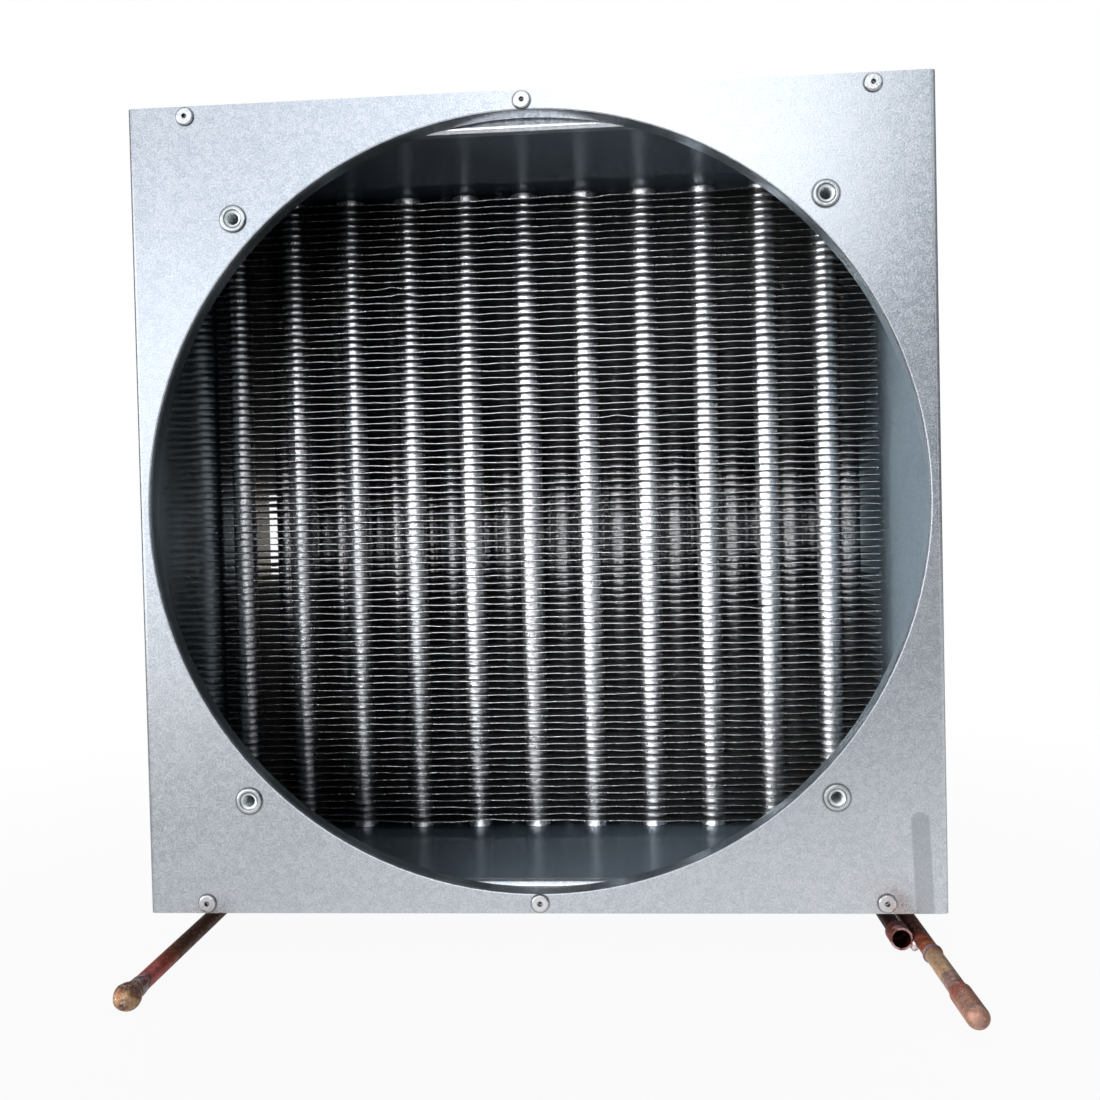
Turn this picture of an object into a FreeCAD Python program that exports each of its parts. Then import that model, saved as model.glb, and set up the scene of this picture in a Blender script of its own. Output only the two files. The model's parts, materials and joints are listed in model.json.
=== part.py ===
import FreeCAD, Part
import Sketcher
import math
import os

# A finned condenser coil behind a square fan shroud. Millimetres, +Z up, +Y away from the fan side.
# The origin is the centre of the round fan opening, on the front face of the shroud's front plate.

doc = FreeCAD.newDocument("condenser")
dim = doc.addObject("Spreadsheet::Sheet", "dim")

DRIVING = [
    # Coil: straight tubes stand on a staggered grid of three rows, fins lie flat across them.
    ("tube_columns", "11"),
    ("tube_pitch", "25.4"),
    ("row_spacing", "22"),
    ("tube_diameter", "9.52"),
    ("tube_wall", "0.5"),
    ("fin_count", "89"),
    ("fin_spacing", "3"),
    ("fin_sheet", "0.15"),
    ("fin_hole_gap", "0.05"),
    ("stack_end_gap", "4"),
    # Where the coil sits in the shroud.
    ("plenum_depth", "78"),
    ("coil_side_gap", "2.3"),
    ("coil_offset", "1.25"),
    ("coil_drop", "1.3"),
    ("coil_rear_margin", "2"),
    # Shroud: front plate with two side walls and a short collar round the fan opening.
    ("shroud_sheet", "1"),
    ("shroud_bend", "1"),
    ("opening_side_land", "4"),
    ("opening_top_land", "7"),
    ("collar_depth", "8"),
    ("collar_edge_round", "0.6"),
    # End plates: a channel along the front edge, a flat web that holds the tubes, a rear flange.
    ("end_sheet", "1.5"),
    ("end_bend", "0.7"),
    ("end_side_gap", "0.3"),
    ("channel_rise", "10"),
    ("channel_step", "0.3"),
    ("channel_gap", "1.5"),
    ("lip_width", "5.3"),
    ("rear_flange_height", "8"),
    ("tube_hole_gap", "0.1"),
    # Blind rivets along the plate's top and bottom edges.
    ("rivet_edge_distance", "3.7"),
    ("rivet_side_inset", "21.4"),
    ("rivet_shank_diameter", "3.2"),
    ("rivet_head_diameter", "6.5"),
    ("rivet_head_height", "1.1"),
    ("rivet_head_round", "0.8"),
    ("rivet_bore_diameter", "1.8"),
    ("rivet_bore_depth", "2.4"),
    ("rivet_bulb_diameter", "4"),
    ("rivet_bulb_length", "2"),
    ("rivet_hole_gap", "0.05"),
    # Open rivet nuts for the fan's screws.
    ("nut_land", "9.5"),
    ("nut_flange_diameter", "9.6"),
    ("nut_flange_height", "0.8"),
    ("nut_body_diameter", "7"),
    ("nut_body_length", "12"),
    ("nut_bulge_diameter", "9"),
    ("nut_bulge_length", "3"),
    ("nut_bore_diameter", "4.2"),
    ("nut_bore_chamfer", "0.5"),
    ("nut_hole_gap", "0.05"),
    # Tube ends: an opened bell below the lower end plate takes each return bend.
    ("bend_clearance", "4"),
    ("bell_clearance", "0.5"),
    ("bell_step", "1"),
    ("bell_depth", "5"),
    ("bell_gap", "0.05"),
    ("insert_depth", "4"),
    ("return_leg", "1"),
    ("braze_height", "0.7"),
    # Connection pipes, which run forward below the shroud.
    ("pipe_diameter", "6"),
    ("pipe_wall", "0.8"),
    ("pipe_joint_gap", "0.05"),
    ("inlet_drop", "21.8"),
    ("inlet_reach", "38.5"),
    ("inlet_bend", "11"),
    ("ball_diameter", "9.6"),
    ("reducer_cone", "2"),
    ("reducer_neck", "2"),
    ("reducer_wall", "0.8"),
    ("outlet_drop", "19.4"),
    ("elbow_bend", "12"),
    ("elbow_run", "27"),
    ("twin_length", "16"),
    ("twin_spacing", "7.2"),
    ("twin_wall", "1"),
    ("twin_insert", "6"),
    ("stub_setback", "9"),
    ("stub_socket_bore", "6.5"),
    ("stub_socket_depth", "8"),
    ("liquid_reach", "58"),
    ("liquid_ring_reach", "5"),
    ("liquid_ring_rise", "0.5"),
    ("liquid_ring_length", "1.6"),
    ("cap_length", "20"),
    ("cap_wall", "0.6"),
]

DERIVED = [
    ("tube_radius", "=tube_diameter / 2"),
    ("tube_bore_radius", "=tube_radius - tube_wall"),
    ("fin_width", "=tube_columns * tube_pitch"),
    ("fin_depth", "=3 * row_spacing"),
    ("coil_rear", "=plenum_depth + fin_depth + coil_rear_margin"),
    ("web_inner", "=(fin_count - 1) * fin_spacing / 2 + stack_end_gap"),
    ("plate_height", "=2 * (web_inner + channel_rise)"),
    ("plate_width", "=fin_width + 2 * coil_side_gap + 2 * shroud_sheet"),
    ("opening_radius", "=min(plate_width / 2 - opening_side_land; plate_height / 2 - opening_top_land)"),
    ("flange_front", "=collar_depth + channel_gap"),
    ("end_half_width", "=plate_width / 2 - shroud_sheet - end_side_gap"),
    ("first_column", "=-coil_offset - (tube_columns - 1) / 2 * tube_pitch - tube_pitch / 4"),
    ("top_web", "=web_inner - coil_drop"),
    ("low_web", "=web_inner + coil_drop"),
    ("top_outer", "=top_web + end_sheet"),
    ("low_outer", "=low_web + end_sheet"),
    ("bell_mouth", "=low_outer + bell_clearance + bell_step + bell_depth"),
    ("bell_bore_radius", "=tube_radius + bell_gap"),
    ("bell_radius", "=bell_bore_radius + tube_wall"),
    ("pipe_radius", "=pipe_diameter / 2"),
    ("pipe_bore_radius", "=pipe_radius - pipe_wall"),
    ("joint_radius", "=pipe_radius + pipe_joint_gap"),
    ("inlet_level", "=low_outer + inlet_drop"),
    ("outlet_level", "=low_outer + outlet_drop"),
    ("row_one", "=plenum_depth + row_spacing / 2"),
    ("row_two", "=row_one + row_spacing"),
    ("row_three", "=row_two + row_spacing"),
    ("elbow_front", "=row_two - elbow_bend - elbow_run"),
    ("twin_rear", "=elbow_front + twin_insert"),
    ("twin_front", "=twin_rear - twin_length"),
    ("nut_place", "=(opening_radius + nut_land) / sqrt(2)"),
    ("rivet_across", "=plate_width / 2 - rivet_side_inset"),
    ("rivet_up", "=plate_height / 2 - rivet_edge_distance"),
    ("cap_radius", "=joint_radius + cap_wall"),
]

for row, (alias, content) in enumerate(DRIVING + DERIVED, start=1):
    dim.set("A%d" % row, alias)
    dim.set("B%d" % row, content)
    dim.setAlias("B%d" % row, alias)
doc.recompute()


def value(text):
    """The number that a sheet expression has now."""
    return float(dim.evalExpression(text))


def plane(body, role):
    """The body's own origin plane or axis with this role."""
    return next(item for item in body.Origin.OriginFeatures if item.Role == role)


def new_body(name):
    """An empty body that carries the name of its sub-part."""
    body = doc.addObject("PartDesign::Body", name)
    body.Label = name
    return body


def new_sketch(body, role, offset=None):
    """A sketch on one of the body's origin planes, moved along its normal by an expression."""
    sketch = body.newObject("Sketcher::SketchObject", body.Name + "_sketch")
    sketch.AttachmentSupport = [(plane(body, role), "")]
    sketch.MapMode = "FlatFace"
    if offset is not None:
        sketch.setExpression("AttachmentOffset.Base.z", offset)
    return sketch


def tie(sketch, axis, geometry, end, text):
    """Ties one coordinate of a sketch point to an expression."""
    if text == "0":
        other_axis = -2 if axis == "DistanceX" else -1
        sketch.addConstraint(Sketcher.Constraint("PointOnObject", geometry, end, other_axis))
        return
    index = sketch.addConstraint(Sketcher.Constraint(axis, -1, 1, geometry, end, value(text)))
    sketch.setExpression("Constraints[%d]" % index, text)


def outline(sketch, points):
    """A closed outline of straight lines through points given as pairs of expressions."""
    spots = [FreeCAD.Vector(value(across), value(up), 0) for across, up in points]
    first = sketch.GeometryCount
    count = len(points)
    for number in range(count):
        line = Part.LineSegment(spots[number], spots[(number + 1) % count])
        sketch.addGeometry(line, False)
    for number in range(count):
        following = first + (number + 1) % count
        sketch.addConstraint(Sketcher.Constraint("Coincident", first + number, 2, following, 1))
    for number, (across, up) in enumerate(points):
        tie(sketch, "DistanceX", first + number, 1, across)
        tie(sketch, "DistanceY", first + number, 1, up)


def circle(sketch, across, up, radius):
    """A circle whose centre and radius are expressions."""
    centre = FreeCAD.Vector(value(across), value(up), 0)
    normal = FreeCAD.Vector(0, 0, 1)
    number = sketch.addGeometry(Part.Circle(centre, normal, value(radius)), False)
    tie(sketch, "DistanceX", number, 3, across)
    tie(sketch, "DistanceY", number, 3, up)
    index = sketch.addConstraint(Sketcher.Constraint("Radius", number, value(radius)))
    sketch.setExpression("Constraints[%d]" % index, radius)


def ring(sketch, across, up, outer, inner):
    """Two circles round one centre."""
    circle(sketch, across, up, outer)
    circle(sketch, across, up, inner)


def pad(body, sketch, length, reverse=False, middle=False):
    """Adds the sketch's area, extruded by an expression."""
    feature = body.newObject("PartDesign::Pad", body.Name + "_pad")
    feature.Profile = sketch
    feature.setExpression("Length", length)
    feature.Reversed = reverse
    if middle:
        feature.SideType = "Symmetric"
    doc.recompute()
    return feature


def pocket(body, sketch, length, reverse=False):
    """Cuts the sketch's area out over a length, away from the sketch's normal."""
    before = body.Shape.Volume
    feature = body.newObject("PartDesign::Pocket", body.Name + "_pocket")
    feature.Profile = sketch
    feature.setExpression("Length", length)
    feature.Reversed = reverse
    doc.recompute()
    if not body.Shape.Volume < before:
        raise RuntimeError(body.Label + ": a pocket cut nothing")
    return feature


def spin(body, sketch, axis, angle=360.0, reverse=False):
    """Adds the sketch's area, turned round an axis of its sketch."""
    feature = body.newObject("PartDesign::Revolution", body.Name + "_turn")
    feature.Profile = sketch
    feature.ReferenceAxis = (sketch, [axis])
    feature.Angle = angle
    feature.Reversed = reverse
    doc.recompute()
    return feature


def pattern(body, originals, role, length, count):
    """Repeats features along an origin axis."""
    feature = body.newObject("PartDesign::LinearPattern", body.Name + "_row")
    feature.Originals = originals
    feature.Direction = (plane(body, role), [""])
    feature.setExpression("Length", length)
    feature.setExpression("Occurrences", count)
    body.Tip = feature
    doc.recompute()
    return feature


def mirror(body, originals, role):
    """Repeats features on the far side of an origin plane."""
    feature = body.newObject("PartDesign::Mirrored", body.Name + "_mirror")
    feature.Originals = originals
    feature.MirrorPlane = (plane(body, role), [""])
    body.Tip = feature
    doc.recompute()
    return feature


def dress(body, kind, size, test):
    """A fillet or chamfer on the edges of the body that a test picks."""
    base = body.Tip
    names = [
        "Edge%d" % number
        for number, edge in enumerate(base.Shape.Edges, start=1)
        if test(edge)
    ]
    if not names:
        raise RuntimeError(body.Label + ": no edge to dress")
    feature = body.newObject("PartDesign::" + kind, body.Name + "_" + kind.lower())
    feature.Base = (base, names)
    feature.setExpression("Radius" if kind == "Fillet" else "Size", size)
    body.Tip = feature
    doc.recompute()
    return feature


def near(number, text):
    """Whether a measured number equals a sheet expression."""
    return abs(number - value(text)) < 1e-4


def upright_edge(edge, across, depth):
    """Whether an edge stands straight up at this place of the plan."""
    box = edge.BoundBox
    return box.ZLength > 1 and box.XLength < 1e-4 and near(box.XMin, across) and near(box.YMin, depth)


def level_edge(edge, depth, up):
    """Whether an edge runs straight along X at this depth and height."""
    box = edge.BoundBox
    return box.XLength > 1 and box.ZLength < 1e-4 and near(box.YMin, depth) and near(box.ZMin, up)


def round_edge(edge, depth, radius):
    """Whether an edge is a circle in a plane square to Y, at this depth and of this radius."""
    flat = edge.BoundBox.YLength < 1e-4 and near(edge.BoundBox.YMin, depth)
    return flat and isinstance(edge.Curve, Part.Circle) and near(edge.Curve.Radius, radius)


def put(body, across, depth, up, turn=None):
    """Places a body by expressions, turned round the vertical where a turn is given."""
    body.setExpression("Placement.Base.x", across)
    body.setExpression("Placement.Base.y", depth)
    body.setExpression("Placement.Base.z", up)
    if turn is not None:
        body.Placement = FreeCAD.Placement(FreeCAD.Vector(), FreeCAD.Rotation(FreeCAD.Vector(0, 0, 1), 1))
        body.setExpression("Placement.Rotation.Angle", turn)


def copies(name, blank, places):
    """One sub-part made of separate equal solids, each a copy of a blank body."""
    group = doc.addObject("Part::Feature", name)
    group.Label = name
    group.Shape = Part.makeCompound([blank.Shape.translated(FreeCAD.Vector(*place)) for place in places])
    group.Placement = FreeCAD.Placement()
    return group


def corners(across, up):
    """The four places at plus and minus two expressions, on the plate."""
    return [(side * value(across), 0, level * value(up)) for side in (-1, 1) for level in (-1, 1)]


def rivet_places():
    """Three rivets along the top edge and three along the bottom edge."""
    middle = [(0, 0, level * value("dim.rivet_up")) for level in (-1, 1)]
    return corners("dim.rivet_across", "dim.rivet_up") + middle


def tube_place(row, column):
    """The expressions for a tube's place in plan. Row two stands half a pitch to the right."""
    shift = " + dim.tube_pitch / 2" if row == 2 else ""
    across = "dim.first_column + %d * dim.tube_pitch%s" % (column, shift)
    depth = {1: "dim.row_one", 2: "dim.row_two", 3: "dim.row_three"}[row]
    return across, depth


def tube_order():
    """The tubes in the order of flow, as pairs of row and column."""
    last = int(value("dim.tube_columns")) - 1
    front = [(1, column) for column in range(last + 1)]
    middle = [(2, column) for column in range(last - 1, -1, -1)]
    back = [(3, column) for column in range(1, last + 1)]
    return front + middle + back + [(2, last)]


def tube_holes(body, start_level, length, gap):
    """Cuts the holes for every tube. The rear row has none at its first place."""
    radius = "dim.tube_radius + " + gap
    pair = new_sketch(body, "XY_Plane", start_level)
    for row in (1, 2):
        across, depth = tube_place(row, 0)
        circle(pair, across, depth, radius)
    cut = pocket(body, pair, length)
    pattern(body, [cut], "X_Axis", "(dim.tube_columns - 1) * dim.tube_pitch", "dim.tube_columns")
    rear = new_sketch(body, "XY_Plane", start_level)
    across, depth = tube_place(3, 1)
    circle(rear, across, depth, radius)
    cut = pocket(body, rear, length)
    pattern(body, [cut], "X_Axis", "(dim.tube_columns - 2) * dim.tube_pitch", "dim.tube_columns - 1")


def make_shroud():
    """The front plate with its folded side walls, the opening's collar and the fastener holes."""
    body = new_body("shroud")
    plan = new_sketch(body, "XY_Plane")
    side = "dim.plate_width / 2"
    inner = "dim.plate_width / 2 - dim.shroud_sheet"
    outline(plan, [
        ("-" + side, "0"),
        (side, "0"),
        (side, "dim.coil_rear"),
        (inner, "dim.coil_rear"),
        (inner, "dim.shroud_sheet"),
        ("-(" + inner + ")", "dim.shroud_sheet"),
        ("-(" + inner + ")", "dim.coil_rear"),
        ("-" + side, "dim.coil_rear"),
    ])
    pad(body, plan, "dim.plate_height", middle=True)
    folds = (side, "-" + side)
    corners_inside = (inner, "-(" + inner + ")")
    dress(body, "Fillet", "dim.shroud_bend + dim.shroud_sheet",
          lambda edge: any(upright_edge(edge, fold, "0") for fold in folds))
    dress(body, "Fillet", "dim.shroud_bend",
          lambda edge: any(upright_edge(edge, fold, "dim.shroud_sheet") for fold in corners_inside))
    # The collar starts as a wide ring, and the opening's cut leaves only its wall.
    collar = new_sketch(body, "XZ_Plane")
    ring(collar, "0", "0", "dim.opening_radius + dim.shroud_sheet", "dim.opening_radius / 2")
    pad(body, collar, "dim.collar_depth", reverse=True)
    opening = new_sketch(body, "XZ_Plane")
    circle(opening, "0", "0", "dim.opening_radius")
    pocket(body, opening, "dim.collar_depth")
    dress(body, "Fillet", "dim.collar_edge_round",
          lambda edge: round_edge(edge, "0", "dim.opening_radius"))
    holes = new_sketch(body, "XZ_Plane")
    for sign_across in ("-", ""):
        for sign_up in ("-", ""):
            circle(holes, sign_across + "dim.nut_place", sign_up + "dim.nut_place",
                   "dim.nut_body_diameter / 2 + dim.nut_hole_gap")
            circle(holes, sign_across + "dim.rivet_across", sign_up + "dim.rivet_up",
                   "dim.rivet_shank_diameter / 2 + dim.rivet_hole_gap")
    for sign_up in ("-", ""):
        circle(holes, "0", sign_up + "dim.rivet_up", "dim.rivet_shank_diameter / 2 + dim.rivet_hole_gap")
    pocket(body, holes, "dim.shroud_sheet")
    return body


def make_end_plate(name, sign, web):
    """A tube sheet folded to a channel behind the front plate and to a flange at the rear."""
    body = new_body(name)
    profile = new_sketch(body, "YZ_Plane")
    up = "" if sign > 0 else "-"
    edge = "dim.plate_height / 2 - dim.channel_step"
    inner = "dim.flange_front + dim.end_sheet"
    rear = "dim.coil_rear"
    points = [
        ("dim.shroud_sheet", edge + " - dim.lip_width"),
        ("dim.shroud_sheet", edge),
        (inner, edge),
        (inner, web + " + dim.end_sheet"),
        (rear + " - dim.end_sheet", web + " + dim.end_sheet"),
        (rear + " - dim.end_sheet", web + " + dim.rear_flange_height"),
        (rear, web + " + dim.rear_flange_height"),
        (rear, web),
        ("dim.flange_front", web),
        ("dim.flange_front", edge + " - dim.end_sheet"),
        ("dim.shroud_sheet + dim.end_sheet", edge + " - dim.end_sheet"),
        ("dim.shroud_sheet + dim.end_sheet", edge + " - dim.lip_width"),
    ]
    outline(profile, [(depth, up + "(" + level + ")") for depth, level in points])
    pad(body, profile, "2 * dim.end_half_width", middle=True)
    outer = [points[1], points[2], points[7], points[8]]
    folds = [points[3], points[4], points[9], points[10]]
    dress(body, "Fillet", "dim.end_bend + dim.end_sheet", lambda one: any(
        level_edge(one, depth, up + "(" + level + ")") for depth, level in outer))
    dress(body, "Fillet", "dim.end_bend", lambda one: any(
        level_edge(one, depth, up + "(" + level + ")") for depth, level in folds))
    start = "dim.top_outer" if sign > 0 else "-dim.low_web"
    tube_holes(body, start, "dim.end_sheet", "dim.tube_hole_gap")
    shanks = new_sketch(body, "XZ_Plane")
    for across in ("-dim.rivet_across", "0", "dim.rivet_across"):
        circle(shanks, across, up + "dim.rivet_up", "dim.rivet_shank_diameter / 2 + dim.rivet_hole_gap")
    pocket(body, shanks, "dim.shroud_sheet + dim.end_sheet")
    return body


def make_fins():
    """The flat fins, in three stacks from the bottom up."""
    blank = new_body("fin_blank")
    plan = new_sketch(blank, "XY_Plane")
    left = "-dim.coil_offset - dim.fin_width / 2"
    right = "-dim.coil_offset + dim.fin_width / 2"
    rear = "dim.plenum_depth + dim.fin_depth"
    outline(plan, [
        (left, "dim.plenum_depth"),
        (right, "dim.plenum_depth"),
        (right, rear),
        (left, rear),
    ])
    pad(blank, plan, "dim.fin_sheet")
    tube_holes(blank, "dim.fin_sheet", "dim.fin_sheet", "dim.fin_hole_gap")
    count = int(value("dim.fin_count"))
    middle = (count - 1) / 2
    base = -value("dim.coil_drop") - value("dim.fin_sheet") / 2
    levels = [base + (number - middle) * value("dim.fin_spacing") for number in range(count)]
    third = math.ceil(count / 3)
    names = ("fins_lower", "fins_middle", "fins_upper")
    return [
        copies(name, blank, [(0, 0, level) for level in levels[number * third:(number + 1) * third]])
        for number, name in enumerate(names)
    ]


def span_of(first, second):
    """The expressions for the middle, the spacing and the turn of a pair of tubes."""
    first_across, first_depth = tube_place(*first)
    second_across, second_depth = tube_place(*second)
    wide = "((%s) - (%s))" % (second_across, first_across)
    deep = "((%s) - (%s))" % (second_depth, first_depth)
    spacing = "sqrt(%s ^ 2 + %s ^ 2)" % (wide, deep)
    turn = "atan2(%s; %s)" % (deep, wide)
    middle_across = "((%s) + (%s)) / 2" % (first_across, second_across)
    middle_depth = "((%s) + (%s)) / 2" % (first_depth, second_depth)
    return middle_across, middle_depth, spacing, turn


def make_hairpin(name, first, second):
    """Two straight tubes joined by a bend at the top, each with an opened bell at its lower end."""
    across, depth, spacing, turn = span_of(first, second)
    body = new_body(name)
    half = spacing + " / 2"
    top = "dim.top_outer + dim.bend_clearance"
    bell_top = "-dim.low_outer - dim.bell_clearance"
    bell_low = bell_top + " - dim.bell_step"
    leg = new_sketch(body, "XZ_Plane")
    outline(leg, [
        (half + " + dim.tube_bore_radius", top),
        (half + " + dim.tube_radius", top),
        (half + " + dim.tube_radius", bell_top),
        (half + " + dim.bell_radius", bell_low),
        (half + " + dim.bell_radius", "-dim.bell_mouth"),
        (half + " + dim.bell_bore_radius", "-dim.bell_mouth"),
        (half + " + dim.bell_bore_radius", bell_low),
        (half + " + dim.tube_bore_radius", bell_top),
    ])
    axis = leg.addGeometry(Part.LineSegment(
        FreeCAD.Vector(value(half), 0, 0), FreeCAD.Vector(value(half), value(top), 0)), True)
    leg.addConstraint(Sketcher.Constraint("PointOnObject", axis, 1, -1))
    leg.addConstraint(Sketcher.Constraint("Vertical", axis))
    tie(leg, "DistanceX", axis, 1, half)
    tie(leg, "DistanceY", axis, 2, top)
    straight = spin(body, leg, "Axis0")
    mirror(body, [straight], "YZ_Plane")
    section = new_sketch(body, "XY_Plane", top)
    ring(section, half, "0", "dim.tube_radius", "dim.tube_bore_radius")
    spin(body, section, "V_Axis", 180.0, reverse=True)
    put(body, across, depth, "0", turn)
    return body


def make_return_bend(name, first, second):
    """A U-bend brazed into the bells of two neighbouring tubes."""
    across, depth, spacing, turn = span_of(first, second)
    body = new_body(name)
    half = spacing + " / 2"
    level = "-dim.bell_mouth - dim.return_leg"
    legs = new_sketch(body, "XY_Plane", level)
    ring(legs, half, "0", "dim.tube_radius", "dim.tube_bore_radius")
    ring(legs, "-" + half, "0", "dim.tube_radius", "dim.tube_bore_radius")
    pad(body, legs, "dim.return_leg + dim.insert_depth")
    section = new_sketch(body, "XY_Plane", level)
    ring(section, half, "0", "dim.tube_radius", "dim.tube_bore_radius")
    spin(body, section, "V_Axis", 180.0)
    put(body, across, depth, "0", turn)
    return body


def make_braze_fillets():
    """A small cone of braze at the mouth of every bell."""
    blank = new_body("braze_blank")
    profile = new_sketch(blank, "XZ_Plane")
    outline(profile, [
        ("dim.bell_bore_radius", "-dim.bell_mouth"),
        ("dim.bell_radius", "-dim.bell_mouth"),
        ("dim.bell_bore_radius", "-dim.bell_mouth - dim.braze_height"),
    ])
    spin(blank, profile, "V_Axis")
    places = [tube_place(*tube) for tube in tube_order()]
    return copies("braze_fillets", blank, [(value(across), value(depth), 0) for across, depth in places])


def make_rivets():
    """Six blind rivets that hold the front plate on the end plates' lips."""
    blank = new_body("rivet_blank")
    profile = new_sketch(blank, "YZ_Plane")
    shank = "dim.rivet_shank_diameter / 2"
    grip = "dim.shroud_sheet + dim.end_sheet"
    outline(profile, [
        ("-dim.rivet_head_height", "dim.rivet_bore_diameter / 2"),
        ("-dim.rivet_head_height", "dim.rivet_head_diameter / 2"),
        ("0", "dim.rivet_head_diameter / 2"),
        ("0", shank),
        (grip, shank),
        (grip, "dim.rivet_bulb_diameter / 2"),
        (grip + " + dim.rivet_bulb_length", "dim.rivet_bulb_diameter / 2"),
        (grip + " + dim.rivet_bulb_length", "0"),
        ("dim.rivet_bore_depth - dim.rivet_head_height", "0"),
        ("dim.rivet_bore_depth - dim.rivet_head_height", "dim.rivet_bore_diameter / 2"),
    ])
    spin(blank, profile, "H_Axis")
    dress(blank, "Fillet", "dim.rivet_head_round",
          lambda edge: round_edge(edge, "-dim.rivet_head_height", "dim.rivet_head_diameter / 2"))
    return copies("plate_rivets", blank, rivet_places())


def make_rivet_nuts():
    """Four open rivet nuts round the opening, upset behind the sheet."""
    blank = new_body("nut_blank")
    profile = new_sketch(blank, "YZ_Plane")
    bore = "dim.nut_bore_diameter / 2"
    barrel = "dim.nut_body_diameter / 2"
    bulge = "dim.nut_bulge_diameter / 2"
    outline(profile, [
        ("-dim.nut_flange_height", bore),
        ("-dim.nut_flange_height", "dim.nut_flange_diameter / 2"),
        ("0", "dim.nut_flange_diameter / 2"),
        ("0", barrel),
        ("dim.shroud_sheet", barrel),
        ("dim.shroud_sheet", bulge),
        ("dim.shroud_sheet + dim.nut_bulge_length", bulge),
        ("dim.shroud_sheet + dim.nut_bulge_length", barrel),
        ("dim.nut_body_length", barrel),
        ("dim.nut_body_length", bore),
    ])
    spin(blank, profile, "H_Axis")
    dress(blank, "Chamfer", "dim.nut_bore_chamfer",
          lambda edge: round_edge(edge, "-dim.nut_flange_height", bore))
    return copies("fan_rivet_nuts", blank, corners("dim.nut_place", "dim.nut_place"))


def make_bent_pipe(name, place, radius, bore, bend, top, level, front):
    """A pipe that comes straight down from a tube, turns forward and runs parallel to Y."""
    body = new_body(name)
    corner = "-(%s) + %s" % (level, bend)
    drop = new_sketch(body, "XY_Plane", corner)
    ring(drop, "0", "0", radius, bore)
    pad(body, drop, "%s - (%s)" % (top, corner))
    turn = new_sketch(body, "XY_Plane", corner)
    ring(turn, "0", "0", radius, bore)
    axis = turn.addGeometry(Part.LineSegment(
        FreeCAD.Vector(0, -value(bend), 0), FreeCAD.Vector(value(bend), -value(bend), 0)), True)
    turn.addConstraint(Sketcher.Constraint("Horizontal", axis))
    turn.addConstraint(Sketcher.Constraint("PointOnObject", axis, 1, -2))
    tie(turn, "DistanceY", axis, 1, "-" + bend)
    tie(turn, "DistanceX", axis, 2, bend)
    spin(body, turn, "Axis0", 90.0, reverse=True)
    run = new_sketch(body, "XZ_Plane", bend)
    ring(run, "0", "-(%s)" % level, radius, bore)
    across, depth = place
    pad(body, run, "%s - %s - (%s)" % (depth, bend, front))
    put(body, across, depth, "0")
    return body


def make_turned(name, points, across, up, reverse=False):
    """A piece turned round a line parallel to Y, from a profile of depth and radius."""
    body = new_body(name)
    profile = new_sketch(body, "YZ_Plane")
    outline(profile, points)
    spin(body, profile, "H_Axis", reverse=reverse)
    put(body, across, "0", up)
    return body


def make_inlet():
    """The inlet on the first tube: a reducer, a bent pipe and the brazed ball that closes it."""
    place = tube_place(1, 0)
    mouth = "-dim.bell_mouth"
    top = mouth + " + dim.insert_depth"
    neck_top = mouth + " - dim.reducer_cone"
    neck_low = neck_top + " - dim.reducer_neck"
    neck = "dim.joint_radius + dim.reducer_wall"
    reducer = new_body("inlet_reducer")
    profile = new_sketch(reducer, "XZ_Plane")
    outline(profile, [
        ("dim.tube_bore_radius", top),
        ("dim.tube_radius", top),
        ("dim.tube_radius", mouth),
        (neck, neck_top),
        (neck, neck_low),
        ("dim.joint_radius", neck_low),
        ("dim.joint_radius", neck_top),
        ("dim.tube_bore_radius", mouth),
    ])
    spin(reducer, profile, "V_Axis")
    put(reducer, place[0], place[1], "0")
    make_bent_pipe("inlet_pipe", place, "dim.pipe_radius", "dim.pipe_bore_radius", "dim.inlet_bend",
                   neck_top, "dim.inlet_level", "-dim.inlet_reach")
    ball = doc.addObject("Part::Sphere", "ball_body")
    ball.setExpression("Radius", "dim.ball_diameter / 2")
    socket = doc.addObject("Part::Cylinder", "ball_socket")
    socket.setExpression("Radius", "dim.joint_radius")
    socket.setExpression("Height", "dim.ball_diameter")
    socket.Placement = FreeCAD.Placement(FreeCAD.Vector(), FreeCAD.Rotation(FreeCAD.Vector(1, 0, 0), -90))
    closed = doc.addObject("Part::Cut", "inlet_ball")
    closed.Label = "inlet_ball"
    closed.Base = ball
    closed.Tool = socket
    put(closed, place[0], "-dim.inlet_reach", "-dim.inlet_level")
    doc.recompute()


def stadium(sketch, half, radius):
    """A slot outline round two centres on the horizontal axis."""
    reach = value(half)
    size = value(radius)
    left_top = FreeCAD.Vector(-reach, size, 0)
    right_top = FreeCAD.Vector(reach, size, 0)
    right_low = FreeCAD.Vector(reach, -size, 0)
    left_low = FreeCAD.Vector(-reach, -size, 0)
    top = sketch.addGeometry(Part.LineSegment(left_top, right_top), False)
    right = sketch.addGeometry(Part.Arc(right_top, FreeCAD.Vector(reach + size, 0, 0), right_low), False)
    low = sketch.addGeometry(Part.LineSegment(right_low, left_low), False)
    left = sketch.addGeometry(Part.Arc(left_low, FreeCAD.Vector(-reach - size, 0, 0), left_top), False)
    # Part.Arc sorts its ends counter-clockwise, so the right arc starts at the bottom.
    joins = ((right, 2, top, 2), (right, 1, low, 1), (left, 2, low, 2), (left, 1, top, 1))
    for arc, arc_end, line, line_end in joins:
        sketch.addConstraint(Sketcher.Constraint("Tangent", arc, arc_end, line, line_end))
    for arc, side in ((right, half), (left, "-" + half)):
        sketch.addConstraint(Sketcher.Constraint("PointOnObject", arc, 3, -1))
        tie(sketch, "DistanceX", arc, 3, side)
    index = sketch.addConstraint(Sketcher.Constraint("Radius", right, size))
    sketch.setExpression("Constraints[%d]" % index, radius)


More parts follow.
